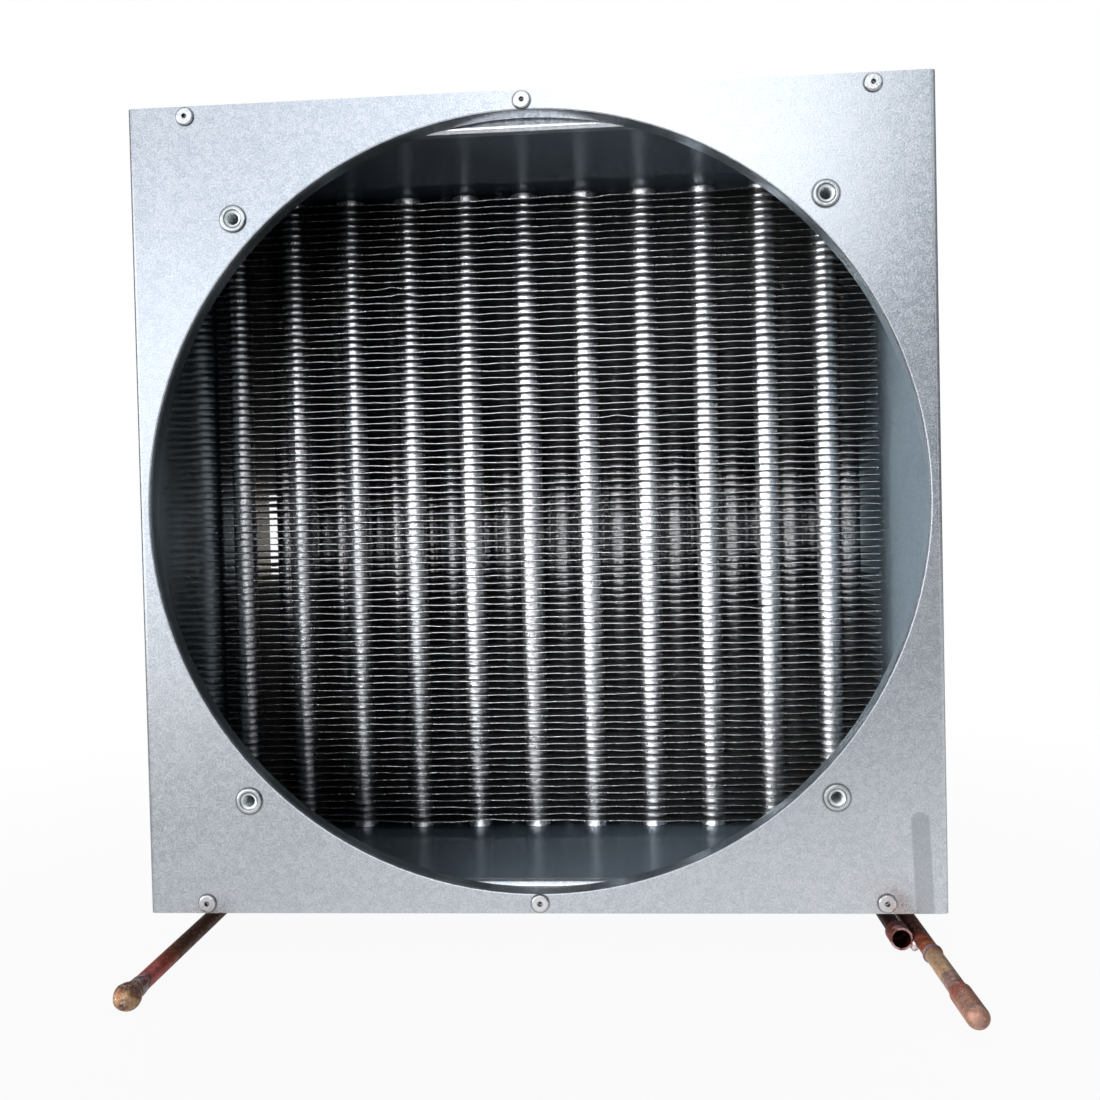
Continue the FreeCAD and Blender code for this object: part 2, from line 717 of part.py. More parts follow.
def make_outlet():
    """The outlet on the last tube: an elbow, a twin socket, the open stub and the long pipe."""
    last = int(value("dim.tube_columns")) - 1
    place = tube_place(2, last)
    make_bent_pipe("outlet_elbow", place, "dim.tube_radius", "dim.tube_bore_radius", "dim.elbow_bend",
                   "-dim.bell_mouth + dim.insert_depth", "dim.outlet_level", "dim.elbow_front")
    twin = new_body("outlet_twin_socket")
    half = "dim.twin_spacing / 2"
    block = new_sketch(twin, "XZ_Plane", "-dim.twin_front")
    stadium(block, half, "dim.joint_radius + dim.twin_wall")
    pad(twin, block, "dim.twin_length", reverse=True)
    barrel = new_sketch(twin, "XZ_Plane", "-dim.twin_rear")
    circle(barrel, "0", "0", "dim.bell_radius")
    pad(twin, barrel, "dim.twin_insert")
    seat = new_sketch(twin, "XZ_Plane", "-dim.elbow_front")
    circle(seat, "0", "0", "dim.bell_bore_radius")
    pocket(twin, seat, "dim.twin_insert")
    bores = new_sketch(twin, "XZ_Plane", "-dim.twin_front")
    circle(bores, half, "0", "dim.joint_radius")
    circle(bores, "-" + half, "0", "dim.joint_radius")
    pocket(twin, bores, "dim.twin_insert")
    throats = new_sketch(twin, "XZ_Plane", "-dim.twin_front")
    circle(throats, half, "0", "dim.pipe_bore_radius")
    circle(throats, "-" + half, "0", "dim.pipe_bore_radius")
    pocket(twin, throats, "dim.twin_length - dim.twin_insert")
    put(twin, place[0], "0", "-dim.outlet_level")
    rear = "dim.twin_front + dim.twin_insert"
    stub_across = "%s - %s" % (place[0], half)
    liquid_across = "%s + %s" % (place[0], half)
    level = "-dim.outlet_level"
    socket = "dim.stub_socket_bore / 2"
    step = "dim.stub_setback + dim.stub_socket_depth"
    make_turned("process_stub", [
        (rear, "dim.pipe_bore_radius"),
        (rear, "dim.pipe_radius"),
        (step + " + dim.pipe_wall", "dim.pipe_radius"),
        (step, socket + " + dim.pipe_wall"),
        ("dim.stub_setback", socket + " + dim.pipe_wall"),
        ("dim.stub_setback", socket),
        (step, socket),
        (step, "dim.pipe_bore_radius"),
    ], stub_across, level)
    end = "-dim.liquid_reach + dim.cap_radius"
    make_turned("liquid_pipe", [
        (rear, "dim.pipe_bore_radius"),
        (rear, "dim.pipe_radius"),
        (end, "dim.pipe_radius"),
        (end, "dim.pipe_bore_radius"),
    ], liquid_across, level)
    ring_middle = "-dim.liquid_ring_reach"
    make_turned("liquid_braze_ring", [
        (ring_middle + " - dim.liquid_ring_length / 2", "dim.joint_radius"),
        (ring_middle + " + dim.liquid_ring_length / 2", "dim.joint_radius"),
        (ring_middle, "dim.joint_radius + dim.liquid_ring_rise"),
    ], liquid_across, level)
    cap = make_turned("liquid_end_cap", [
        ("-dim.liquid_reach", "0"),
        ("-dim.liquid_reach", "dim.cap_radius"),
        ("-dim.liquid_reach + dim.cap_length", "dim.cap_radius"),
        ("-dim.liquid_reach + dim.cap_length", "dim.joint_radius"),
        (end, "dim.joint_radius"),
        (end, "0"),
    ], liquid_across, level)
    dress(cap, "Fillet", "dim.joint_radius",
          lambda edge: round_edge(edge, "-dim.liquid_reach", "dim.cap_radius"))


def make_all():
    """Every sub-part. Blanks that only lend their shape to copies aren't sub-parts."""
    make_shroud()
    make_end_plate("end_plate_top", 1, "dim.top_web")
    make_end_plate("end_plate_bottom", -1, "dim.low_web")
    make_fins()
    order = tube_order()
    pairs = list(zip(order[0::2], order[1::2]))
    for number, (first, second) in enumerate(pairs, start=1):
        make_hairpin("hairpin_%02d" % number, first, second)
    links = list(zip(order[1:-1:2], order[2::2]))
    for number, (first, second) in enumerate(links, start=1):
        make_return_bend("return_bend_%02d" % number, first, second)
    make_braze_fillets()
    make_rivets()
    make_rivet_nuts()
    make_inlet()
    make_outlet()


def sub_parts():
    """The objects that are pieces of the condenser."""
    inner = ("ball_body", "ball_socket")
    kinds = ("PartDesign::Body", "Part::Feature", "Part::Cut")
    found = [item for item in doc.Objects if item.TypeId in kinds]
    return [item for item in found if not item.Label.endswith("_blank") and item.Name not in inner]


def check_and_write():
    """Checks every object, then writes each sub-part to its own file."""
    doc.recompute()
    for item in doc.Objects:
        if "Invalid" in item.State or "Error" in item.State:
            raise RuntimeError("failed object: " + item.Label)
    parts = sub_parts()
    for part in parts:
        if part.Shape.isNull() or not part.Shape.isValid():
            raise RuntimeError("bad shape: " + part.Label)
    os.makedirs("parts", exist_ok=True)
    for part in parts:
        part.Shape.exportStep("parts/%s.step" % part.Label)
    print(len(parts), "sub-parts,", sum(len(part.Shape.Solids) for part in parts), "solids")


make_all()
check_and_write()
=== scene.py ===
import json
import math

import bpy
import numpy as np
from mathutils import Matrix, Vector

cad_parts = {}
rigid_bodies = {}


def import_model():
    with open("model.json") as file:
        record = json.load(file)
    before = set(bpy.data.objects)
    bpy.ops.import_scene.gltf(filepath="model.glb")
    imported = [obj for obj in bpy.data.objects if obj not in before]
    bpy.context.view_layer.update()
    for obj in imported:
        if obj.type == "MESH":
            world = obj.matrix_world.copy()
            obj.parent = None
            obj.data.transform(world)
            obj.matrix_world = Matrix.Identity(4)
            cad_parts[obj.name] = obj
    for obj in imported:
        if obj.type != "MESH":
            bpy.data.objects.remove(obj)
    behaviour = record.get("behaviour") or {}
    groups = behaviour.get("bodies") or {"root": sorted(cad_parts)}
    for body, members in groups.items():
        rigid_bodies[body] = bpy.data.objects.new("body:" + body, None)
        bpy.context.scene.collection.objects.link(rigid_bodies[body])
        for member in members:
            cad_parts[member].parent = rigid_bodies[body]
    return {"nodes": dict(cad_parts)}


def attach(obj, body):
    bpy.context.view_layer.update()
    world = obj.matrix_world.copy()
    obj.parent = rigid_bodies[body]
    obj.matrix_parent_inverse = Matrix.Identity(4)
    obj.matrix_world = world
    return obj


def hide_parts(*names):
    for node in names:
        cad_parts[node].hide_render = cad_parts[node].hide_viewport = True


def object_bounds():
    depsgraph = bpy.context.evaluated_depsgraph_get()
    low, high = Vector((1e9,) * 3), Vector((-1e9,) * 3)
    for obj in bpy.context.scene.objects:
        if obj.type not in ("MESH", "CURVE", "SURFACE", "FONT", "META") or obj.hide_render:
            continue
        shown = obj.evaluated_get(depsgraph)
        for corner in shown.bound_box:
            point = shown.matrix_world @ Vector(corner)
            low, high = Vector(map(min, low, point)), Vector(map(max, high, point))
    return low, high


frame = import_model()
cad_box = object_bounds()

bl_info = {
    "name": "Refrigeration condenser finishes",
    "version": (1, 0, 0),
    "blender": (4, 5, 0),
    "location": "View3D > Sidebar > Condenser",
    "description": "Collared fins, threaded nuts, brazed pipes and metal finishes for a fan condenser",
    "category": "Object",
}

MM = 0.001
TURN = 2 * math.pi
BODY = "root"
frame_nodes = frame["nodes"]

# Sizes of the coil, in millimetres. They repeat the drawing that the frame was made from.
TUBE_PITCH = 25.4
ROW_SPACING = 22.0
TUBE_ROWS = 3
TUBE_COLUMNS = 11
TUBE_RADIUS = 4.76
FIRST_TUBE = -134.6
FIRST_ROW = 89.0
FIN_COUNT = 89
FIN_SPACING = 3.0
FIN_MIDDLE = -1.3
FIN_LEFT = -140.95
FIN_RIGHT = 138.45
FIN_FRONT = 78.0
FIN_REAR = 144.0
END_GAP = 4.0

# The fins are made in banks from the bottom up, and each bank stands for a node of the frame.
BANK_FINS = 15
FIN_NODES = ("fins_lower", "fins_lower", "fins_middle", "fins_middle", "fins_upper", "fins_upper")

# A fin's finishes, and the numbers by which its faces take them.
FIN_FINISHES = ("fin sheet", "fin collar", "fin edge")
SHEET, COLLAR, EDGE = range(3)

# The strip along a fin's front and rear edges, the least step that tells two places apart,
# and the parts of a millimetre to which corners are rounded when they are welded.
FIN_EDGE = 1.0
TOUCH = 0.01
WELD_PARTS = 1000

# How far the marks of the drawing die move each ring of a collar outwards, and how far its
# notches lower it, from the collar's foot to the end of its bore.
DIE_MARKS = (0.0, 0.03, 0.06, 0.09, 0.13, 0.0, 0.0)
DIE_NOTCHES = (0.0, 0.0, 0.1, 0.2, 0.12, 0.0, 0.0)

# The collar that covers each tube below the lowest fin: a loop of (radius, height).
SLEEVE = ((4.84, -0.12), (4.84, -3.88), (5.35, -3.88), (4.98, -0.12))

# On the highest fin: where its collars begin, where their lengthened lips do, and how far
# below the end plate they stop.
COLLAR_FOOT = 0.25
LIP_FOOT = 3.4
LIP_GAP = 0.02

# The waves along a fin, as (length, strength). They are highest at its front and rear edges,
# and there are none within FLAT_REACH of a tube's axis.
FIN_WAVES = ((TUBE_PITCH, 1.0), (67.0, 0.9), (11.7, 0.7))
EDGE_FADE = 9.0
FLAT_REACH = 6.0

# The dip in the lowest and the highest fin, as (place along x, width, height), and the dents
# in other fins, as (fin, place along x, height).
END_DIPS = {0: (-30.0, 9.0, 0.95), FIN_COUNT - 1: (22.0, 5.0, -0.95)}
END_BOW = 0.35
END_BOW_LENGTH = 96.0
DENTS = ((76, -64.0, 1.0), (75, -60.0, 0.8), (30, 88.0, -0.9), (57, 31.0, 0.7))
DENT_WIDTH = 3.4

# A rivet nut, in millimetres, as (radius, depth behind the plate's face): its flange, body and
# rear end, and the mouth. The threaded bore lies between them.
NUT_PLACE = 105.005
NUT_BODY = [
    (4.3, -0.8), (4.8, -0.5), (4.8, 0.0), (3.5, 0.0), (3.5, 1.0), (4.5, 1.0),
    (4.5, 2.6), (3.5, 4.0), (3.5, 11.6), (3.1, 12.0), (2.6, 12.0)]
NUT_MOUTH = [(2.55, -0.35), (3.0, -0.62), (3.25, -0.8)]
NUT_BORE = 2.1
THREAD_START = -0.2
THREAD_END = 11.6
THREAD_RUNOUT = 0.6
THREAD_DEPTH = 0.4
THREAD_PITCH = 0.8

# The brazed ball on the inlet pipe, in millimetres, with the ends of its neck behind its centre.
# The smear on the neck ends about SMEAR_END, on the pipe's skin.
BALL_PLACE = (-134.6, -38.5, -160.6)
BALL_RADIUS = 4.8
NECK_FAR = -17.5
NECK_NEAR = -3.4
SMEAR_END = -15.0
SMEAR_FADE = 5.0
SKIN_RADIUS = 2.93

# The braze web between the process stub and the liquid pipe, in millimetres.
WEB_PLACE = (133.4, 17.0, -160.3)
WEB_REACH = 8.8
WEB_WIDE = 1.9
WEB_HIGH = 3.3

# The plate's outer face lies in front of FACE_DEPTH, and the inner faces of the housing lie
# between these limits, in metres.
FACE_DEPTH = 0.0005
INNER_SIDE = 0.1425
INNER_TOP = 0.1352
INNER_BOTTOM = -0.1378
ZINC_METAL = 0.95

# The places of the rivets on the plate, in metres from its middle.
RIVET_ACROSS = 0.1216
RIVET_UP = 0.1423

# The painted shadow of the liquid pipe on the plate, in metres: its middle line, how much that leans
# with the height, the height of its round end, and the distances between which its side fades out.
PIPE_SHADOW_ACROSS = 0.1285
PIPE_SHADOW_LEAN = 0.0435
PIPE_SHADOW_TOP = -0.1134
PIPE_SHADOW_FADE = (0.0028, 0.0035)
PIPE_SHADOW_STRENGTH = 0.48

# The painted shade of a fastener, dark in its hole, round a nut's mouth and at the edge of its head, as
# (distance from its axis in millimetres, shade).
RIVET_PAINTED_SHADE = ((0.0, 0.02), (0.6, 0.03), (0.85, 0.75), (1.5, 1.0), (2.6, 0.95), (3.0, 0.6), (3.3, 0.25))
NUT_PAINTED_SHADE = (
    (0.0, 0.5), (2.0, 0.9), (2.8, 1.0), (3.1, 0.3), (3.3, 0.2),
    (3.5, 0.9), (4.3, 0.9), (4.6, 0.25), (4.9, 0.1))

# The heat colours along the pipes and their braze, as (share of the way, colour).
INLET_HEAT = (
    (0.0, (0.12, 0.05, 0.03)), (0.3, (0.1, 0.044, 0.016)), (0.46, (0.26, 0.07, 0.028)),
    (0.64, (0.52, 0.08, 0.052)), (0.84, (0.62, 0.15, 0.14)), (1.0, (0.62, 0.32, 0.34)))
BALL_HEAT = (
    (0.0, (0.4, 0.16, 0.16)), (0.2, (0.14, 0.06, 0.03)), (0.36, (0.6, 0.52, 0.58)),
    (0.48, (0.22, 0.1, 0.06)), (0.6, (0.46, 0.27, 0.13)), (0.74, (0.13, 0.06, 0.07)),
    (0.86, (0.36, 0.19, 0.08)), (1.0, (0.5, 0.32, 0.18)))
LIQUID_HEAT = (
    (0.0, (0.09, 0.018, 0.014)), (0.16, (0.42, 0.08, 0.035)), (0.22, (0.56, 0.2, 0.07)),
    (0.3, (0.62, 0.41, 0.26)), (0.5, (0.66, 0.41, 0.22)), (0.62, (0.42, 0.3, 0.25)),
    (0.68, (0.42, 0.1, 0.06)), (0.8, (0.46, 0.19, 0.12)), (1.0, (0.48, 0.29, 0.22)))
STUB_HEAT = (
    (0.0, (0.3, 0.13, 0.08)), (0.6, (0.16, 0.04, 0.03)), (0.9, (0.2, 0.05, 0.035)),
    (0.985, (0.26, 0.08, 0.06)), (1.0, (0.66, 0.42, 0.4)))
WEB_HEAT = (
    (0.0, (0.16, 0.04, 0.03)), (0.55, (0.26, 0.08, 0.06)), (0.8, (0.5, 0.32, 0.36)),
    (1.0, (0.86, 0.76, 0.78)))
SOOT = (0.05, 0.02, 0.018)
BORE_DARK = (0.035, 0.006, 0.005)

# The stub's bore, coloured near black, as (x, z, radius) in metres.
STUB_BORE = (0.1285, -0.1582, 0.0033)

# The camera: its place in metres, its turns in radians, and its lens and sensor in millimetres.
CAMERA_PLACE = (0.03443, -0.39715, -0.00855)
CAMERA_TURNS = ((0.0704, "Z"), (-0.0195, "X"), (0.023, "Y"), (math.pi / 2, "X"))
CAMERA_LENS = 36.777
CAMERA_SENSOR = 36.0
CAMERA_NEAR = 0.01

# The pieces that the linked lamps light, by the starts of their names.
LIT_PIECES = {
    "coil and end plates": ("fin_bank", "end_plate"),
    "pipes": ("inlet", "liquid", "process", "outlet", "twin"),
    "nuts and rivets": ("threaded", "plate_rivets"),
}

# The lamps: name, place, the point they face, size, power in watts, and the pieces that a
# linked one lights. The softboxes on the left share a place and size.
MIDDLE = (0.0, 0.0, 0.0)
SOFTBOX = ((-1.25, -0.72, 0.03), MIDDLE, (1.1, 1.0))
LAMPS = (
    ("left softbox", *SOFTBOX, 3.5, None),
    ("fastener softbox", *SOFTBOX, 50.0, "nuts and rivets"),
    ("coil softbox", *SOFTBOX, 190.0, "coil and end plates"),
    ("coil front lamp", (-0.22, -1.18, 0.005), MIDDLE, (0.36, 0.34), 1.8, "coil and end plates"),
    ("coil right lamp", (0.27, -1.18, 0.0), MIDDLE, (0.3, 0.24), 0.8, "coil and end plates"),
    ("pipe softbox", *SOFTBOX, 50.0, "pipes"),
    ("top softbox", (0.14, -0.98, 0.45), MIDDLE, (0.4, 0.35), 0.45, None),
    ("right softbox", (0.85, -0.78, 0.02), MIDDLE, (0.45, 0.9), 0.45, None),
    ("rear lamp", (0.1, 0.75, 1.0), (0.0, 0.1, 0.0), (0.9, 0.7), 6.0, None),
)

# The stage: the floor's corners (x, y), the rear film's corners (x, z) and its depth, in
# metres, plain white, and the dark that shows through the coil.
FLOOR_CORNERS = ((-6.0, -6.0), (6.0, -6.0), (6.0, 6.0), (-6.0, 6.0))
FILM_CORNERS = ((-0.134, -0.1342), (0.1409, -0.1342), (0.1409, 0.1312), (-0.134, 0.1312))
FILM_DEPTH = 0.1452
WHITE = (1.0, 1.0, 1.0)
COIL_DARK = (0.02, 0.02, 0.022)


# Surfaces
def quads_between(rings):
    """The four-cornered faces between rings of points that follow one another.

    rings has the shape (rings, points, 3), and each ring closes on itself. The
    corners of a face are point i and i + 1 of a ring, then i + 1 and i of the next.
    """
    a = rings[:-1]
    b = rings[1:]
    return np.stack([a, np.roll(a, -1, 1), np.roll(b, -1, 1), b], 2).reshape(-1, 4, 3)


def flat_quads(xs, ys, level, up):
    """The faces of a flat grid at one level, facing up or down."""
    gx, gy = np.meshgrid(xs, ys, indexing="ij")
    g = np.stack([gx, gy, np.full_like(gx, level)], -1)
    q = np.stack([g[:-1, :-1], g[1:, :-1], g[1:, 1:], g[:-1, 1:]], 2).reshape(-1, 4, 3)
    return q if up else q[:, ::-1]


def at_level(line, level):
    """A line's points with the level as one number more."""
    return np.column_stack([line, np.full(len(line), level)])


def wall_quads(line, low, high):
    """The upright faces between two levels along a line of points (x, y)."""
    lower = at_level(line, low)
    upper = at_level(line, high)
    return np.stack([lower[:-1], lower[1:], upper[1:], upper[:-1]], 1)


def weld(quads):
    """Points and faces from loose four-cornered faces: corners at one place become one point."""
    corners = quads.reshape(-1, 3)
    keys = np.round(corners * WELD_PARTS).astype(np.int64)
    _, first, index = np.unique(keys, axis=0, return_index=True, return_inverse=True)
    return corners[first], index.reshape(-1, 4)


def make_piece(name, points, *face_sets, sharp=38.0):
    """A mesh object at the origin from points in millimetres and arrays of faces.

    Edges that turn by more than sharp, in degrees, stay sharp.
    """
    mesh = bpy.data.meshes.new(name)
    mesh.vertices.add(len(points))
    mesh.vertices.foreach_set("co", np.ascontiguousarray(points * MM, np.float32).ravel())
    sizes = np.concatenate([np.full(len(f), f.shape[1]) for f in face_sets])
    loops = np.concatenate([f.ravel() for f in face_sets])
    mesh.loops.add(len(loops))
    mesh.loops.foreach_set("vertex_index", loops.astype(np.int32))
    mesh.polygons.add(len(sizes))
    starts = np.concatenate([[0], np.cumsum(sizes)[:-1]])
    mesh.polygons.foreach_set("loop_start", starts.astype(np.int32))
    mesh.polygons.foreach_set("use_smooth", np.ones(len(sizes), bool))
    mesh.update(calc_edges=True)
    mesh.set_sharp_from_angle(angle=math.radians(sharp))
    piece = bpy.data.objects.new(name, mesh)
    bpy.context.scene.collection.objects.link(piece)
    return piece


def turned(profile, segments, centre, axis, shape=None, loop=False):
    """A closed surface turned about an axis.

    A point is centre + axis * h + r * (cos(a) u + sin(a) v), for each (r, h) of the
    profile and each angle a. shape(r, h, a) gives a new r. The profile is a loop, or
    it starts and ends on the axis, where r = 0, and then triangles close its ends.
    Returns points, quads and those triangles.
    """
    profile = np.asarray(profile, float)
    centre = np.asarray(centre, float)
    axis = np.asarray(axis, float)
    u = np.cross(axis, [0.0, 0.0, 1.0] if abs(axis[2]) < 0.9 else [1.0, 0.0, 0.0])
    u /= np.linalg.norm(u)
    v = np.cross(axis, u)
    angles = np.arange(segments) * (TURN / segments)
    inner = profile if loop else profile[1:-1]
    r, a = np.meshgrid(inner[:, 0], angles, indexing="ij")
    h = np.repeat(inner[:, 1][:, None], segments, 1)
    if shape:
        r = shape(r, h, a)
    ring = r[..., None] * (np.cos(a)[..., None] * u + np.sin(a)[..., None] * v)
    points = (centre + h[..., None] * axis + ring).reshape(-1, 3)
    index = np.arange(r.size).reshape(r.shape)
    if loop:
        index = np.concatenate([index, index[:1]])
    after = np.roll(index, -1, 1)
    quads = np.stack([index[:-1], after[:-1], after[1:], index[1:]], 2).reshape(-1, 4)
    if loop:
        return points, quads
    ends = centre + profile[[0, -1], 1][:, None] * axis
    start = np.full(segments, r.size)
    fan_a = np.stack([start, after[0], index[0]], 1)
    fan_b = np.stack([start + 1, index[-1], after[-1]], 1)
    return np.concatenate([points, ends]), quads, np.concatenate([fan_a, fan_b])


def joined(loops):
    """The points and quads of several turned loops as one."""
    points, quads, start = [], [], 0
    for p, q in loops:
        points.append(p)
        quads.append(q + start)
        start += len(p)
    return np.concatenate(points), np.concatenate(quads)


# The fins
def tube_sites():
    """The centre of every tube hole in the fins, as (row, x, y).

    The middle row stands half a pitch to the right, and the rear row has no first tube.
    """
    sites = []
    for row in range(TUBE_ROWS):
        shift = TUBE_PITCH / 2 if row == 1 else 0.0
        for column in range(TUBE_COLUMNS):
            if row == 2 and column == 0:
                continue
            sites.append((row, FIRST_TUBE + shift + column * TUBE_PITCH, FIRST_ROW + row * ROW_SPACING))
    return sites


def cell_rim(row, x, ys, step):
    """The edge of a tube's cell of the sheet, as points (x, y) that run round it.

    The front row's near side has twice as many points, where the waves are highest.
    """
    left = max(x - TUBE_PITCH / 2, FIN_LEFT)
    right = min(x + TUBE_PITCH / 2, FIN_RIGHT)
    wide = int(round((right - left) / step))
    xs = np.linspace(left, right, wide + 1)
    near_xs = np.linspace(left, right, 2 * wide + 1) if row == 0 else xs
    near = [(a, ys[0]) for a in near_xs[:-1]]
    side = [(right, b) for b in ys[:-1]]
    far = [(a, ys[-1]) for a in xs[:0:-1]]
    back = [(left, b) for b in ys[:0:-1]]
    return np.array(near + side + far + back)


def fin_template(sheet, burr, collar, lip):
    """One fin with a drawn collar round each tube, as points, faces and the finish of each face.

    Each tube has a cell of the sheet. Rings lead from the cell's edge in to the
    collar's foot, up the collar, over its lip, and down its bore to the underside.
    Small random steps in radius and height stand for the marks of the drawing die.
    """
    random = np.random.default_rng(7)
    half = sheet / 2
    top = FIN_SPACING - half
    bore = TUBE_RADIUS + 0.08
    profile = (
        (collar + 0.3, half),
        (collar, 0.32),
        (collar + 0.05, 1.5),
        (collar + 0.16, 2.4),
        (lip, top - 0.07),
        (bore, top - 0.1),
        (bore, -half),
    )
    step = TUBE_PITCH / 4
    front = FIN_FRONT + FIN_EDGE
    rear = FIN_REAR - FIN_EDGE
    limits = FIN_FRONT + ROW_SPACING * np.arange(TUBE_ROWS + 1)
    row_lines = [np.linspace(a, b, 5) for a, b in zip(limits[:-1], limits[1:])]
    row_lines[0][0] = front
    row_lines[-1][-1] = rear
    faces = []
    for row, x, y in tube_sites():
        rim = cell_rim(row, x, row_lines[row], step)
        centre = np.array([x, y])
        out = rim - centre
        out /= np.linalg.norm(out, axis=1)[:, None]
        marks = random.normal(size=len(rim))[:, None]
        notches = random.random(len(rim))
        rings = [at_level(rim, half)]
        for (radius, height), mark, notch in zip(profile, DIE_MARKS, DIE_NOTCHES):
            circle = centre + out * (radius + mark * marks)
            rings.append(np.column_stack([circle, height - notch * notches]))
        rings.append(at_level(rim, -half))
        faces.append(quads_between(np.array(rings)))

    # The flat parts of the sheet outside the cells, as (xs, ys).
    right_start = FIN_RIGHT - step
    front_xs = np.append(np.arange(FIN_LEFT, right_start + 0.1, step / 2), FIN_RIGHT)
    rear_xs = np.arange(FIN_LEFT, FIN_RIGHT + 0.1, step)
    plain = (
        ([right_start, FIN_RIGHT], row_lines[0]),
        ([FIN_LEFT, FIN_LEFT + step], row_lines[1]),
        ([right_start, FIN_RIGHT], row_lines[2]),
        (np.linspace(FIN_LEFT, FIN_LEFT + 3 * step, 4), row_lines[2]),
        (front_xs, [FIN_FRONT, front]),
        (rear_xs, [rear, FIN_REAR]),
    )
    for xs, ys in plain:
        faces.append(flat_quads(xs, ys, half, True))
        faces.append(flat_quads(xs, ys, -half, False))
    side_ys = np.unique(np.concatenate([[FIN_FRONT], *row_lines, [FIN_REAR]]))
    lines = (
        at_level(front_xs, FIN_FRONT),
        at_level(side_ys, FIN_RIGHT)[:, ::-1],
        at_level(rear_xs[::-1], FIN_REAR),
        at_level(side_ys[::-1], FIN_LEFT)[:, ::-1],
    )
    faces += [wall_quads(line, -half, half) for line in lines]

    points, index = weld(np.concatenate(faces))
    corners = points[index]
    high = corners[..., 2].max(1) > half + TOUCH
    rims = (corners[..., 1].max(1) < front + TOUCH) | (corners[..., 1].min(1) > rear - TOUCH)
    ends = (points[:, 1] < FIN_FRONT + TOUCH) | (points[:, 1] > FIN_REAR - TOUCH)
    points[ends, 2] *= burr / sheet
    return points, index, np.where(high, COLLAR, np.where(rims, EDGE, SHEET))


def fin_waves(points, number, wave, random):
    """How far each point of a fin is lifted, in millimetres.

    Three sines along x, strongest at the front and rear edges, zero at the collars.
    The first and last fins have a longer one and a dip, and a few fins have a dent.
    """
    x, y = points[:, 0], points[:, 1]
    sites = np.array(tube_sites())[:, 1:]
    near = np.sqrt(((points[:, None, :2] - sites) ** 2).sum(2)).min(1)
    free = np.clip((near - FLAT_REACH) / 0.3, 0.0, 1.0)
    edge = np.maximum(np.exp(-(y - FIN_FRONT) / EDGE_FADE), np.exp(-(FIN_REAR - y) / EDGE_FADE))
    shape = np.zeros(len(points))
    for (length, strength), phase in zip(FIN_WAVES, random.random(len(FIN_WAVES))):
        shape += strength * np.sin(TURN * (x / length + phase))
    lift = wave * shape * (0.25 + 0.75 * edge)
    if number in END_DIPS:
        place, wide, tall = END_DIPS[number]
        bow = END_BOW * np.sin(TURN * (x / END_BOW_LENGTH + 0.2))
        lift += edge * (bow + tall * np.exp(-((x - place) / wide) ** 2))
    for fin, place, tall in DENTS:
        if number == fin:
            lift += tall * edge * np.exp(-((x - place) / DENT_WIDTH) ** 2)
    return free * lift


def reach_end_plate(fin):
    """Lengthen the collars of the highest fin, in place, up to just below the end plate."""
    fin[fin[:, 2] > COLLAR_FOOT, 2] *= END_GAP / FIN_SPACING
    fin[fin[:, 2] > LIP_FOOT, 2] = END_GAP - LIP_GAP


# Finishes
class Nodes:
    """Short ways to add and join shader nodes in one tree."""

    def __init__(self, tree):
        self.tree = tree
        tree.nodes.clear()

    def add(self, kind, **settings):
        """A new node with its settings."""
        node = self.tree.nodes.new(kind)
        for key, value in settings.items():
            setattr(node, key, value)
        return node

    def join(self, source, target):
        """Link a socket to the target, or set the target to a plain value."""
        if isinstance(source, bpy.types.NodeSocket):
            self.tree.links.new(source, target)
        else:
            target.default_value = source

    def fill(self, node, inputs):
        """Join each of the inputs, by name or number, and give the node's outputs."""
        for key, source in inputs.items():
            self.join(source, node.inputs[key])
        return node.outputs

    def place(self):
        """The place in the object, in metres."""
        return self.add("ShaderNodeTexCoord").outputs["Object"]

    def parts(self, vector):
        """The x, y and z of a vector."""
        return self.fill(self.add("ShaderNodeSeparateXYZ"), {0: vector})

    def noise(self, vector, scale, detail, rough=0.5, warp=0.0):
        """The outputs of a noise texture."""
        return self.fill(self.add("ShaderNodeTexNoise"), {
            "Vector": vector, "Scale": scale, "Detail": detail, "Roughness": rough, "Distortion": warp})

    def math(self, operation, a, b=0.0, clamp=False):
        """The result of one operation on a and b."""
        node = self.add("ShaderNodeMath", operation=operation, use_clamp=clamp)
        return self.fill(node, {0: a, 1: b})[0]

    def product(self, first, *others):
        """All the factors multiplied, in their order."""
        for factor in others:
            first = self.math("MULTIPLY", first, factor)
        return first

    def length(self, a, b):
        """The square root of a squared plus b squared."""
        return self.math("SQRT", self.math("ADD", self.product(a, a), self.product(b, b)))

    def span(self, value, low, high, to_low=0.0, to_high=1.0):
        """Value stretched from low..high to to_low..to_high, and held there."""
        node = self.add("ShaderNodeMapRange", clamp=True)
        return self.fill(node, {0: value, 1: low, 2: high, 3: to_low, 4: to_high})[0]

    def blend(self, factor, a, b, kind="MIX"):
        """Colour a blended with colour b."""
        node = self.add("ShaderNodeMix", data_type="RGBA", blend_type=kind, clamp_factor=True)
        return self.fill(node, {0: factor, 6: colour(a), 7: colour(b)})[2]

    def ramp(self, factor, stops):
        """A colour that follows factor through the stops, each (position, colour)."""
        node = self.add("ShaderNodeValToRGB")
        elements = node.color_ramp.elements
        while len(elements) < len(stops):
            elements.new(0.5)
        for element, (position, tint) in zip(elements, stops):
            element.position = position
            element.color = colour(tint)
        return self.fill(node, {0: factor})[0]


def colour(value):
    """Red, green, blue and a full alpha, or the socket that gives the colour."""
    if isinstance(value, bpy.types.NodeSocket):
        return value
    return (value[0], value[1], value[2], 1.0)


def scaled(base, amount):
    """A colour made darker or lighter."""
    return [c * amount for c in base]


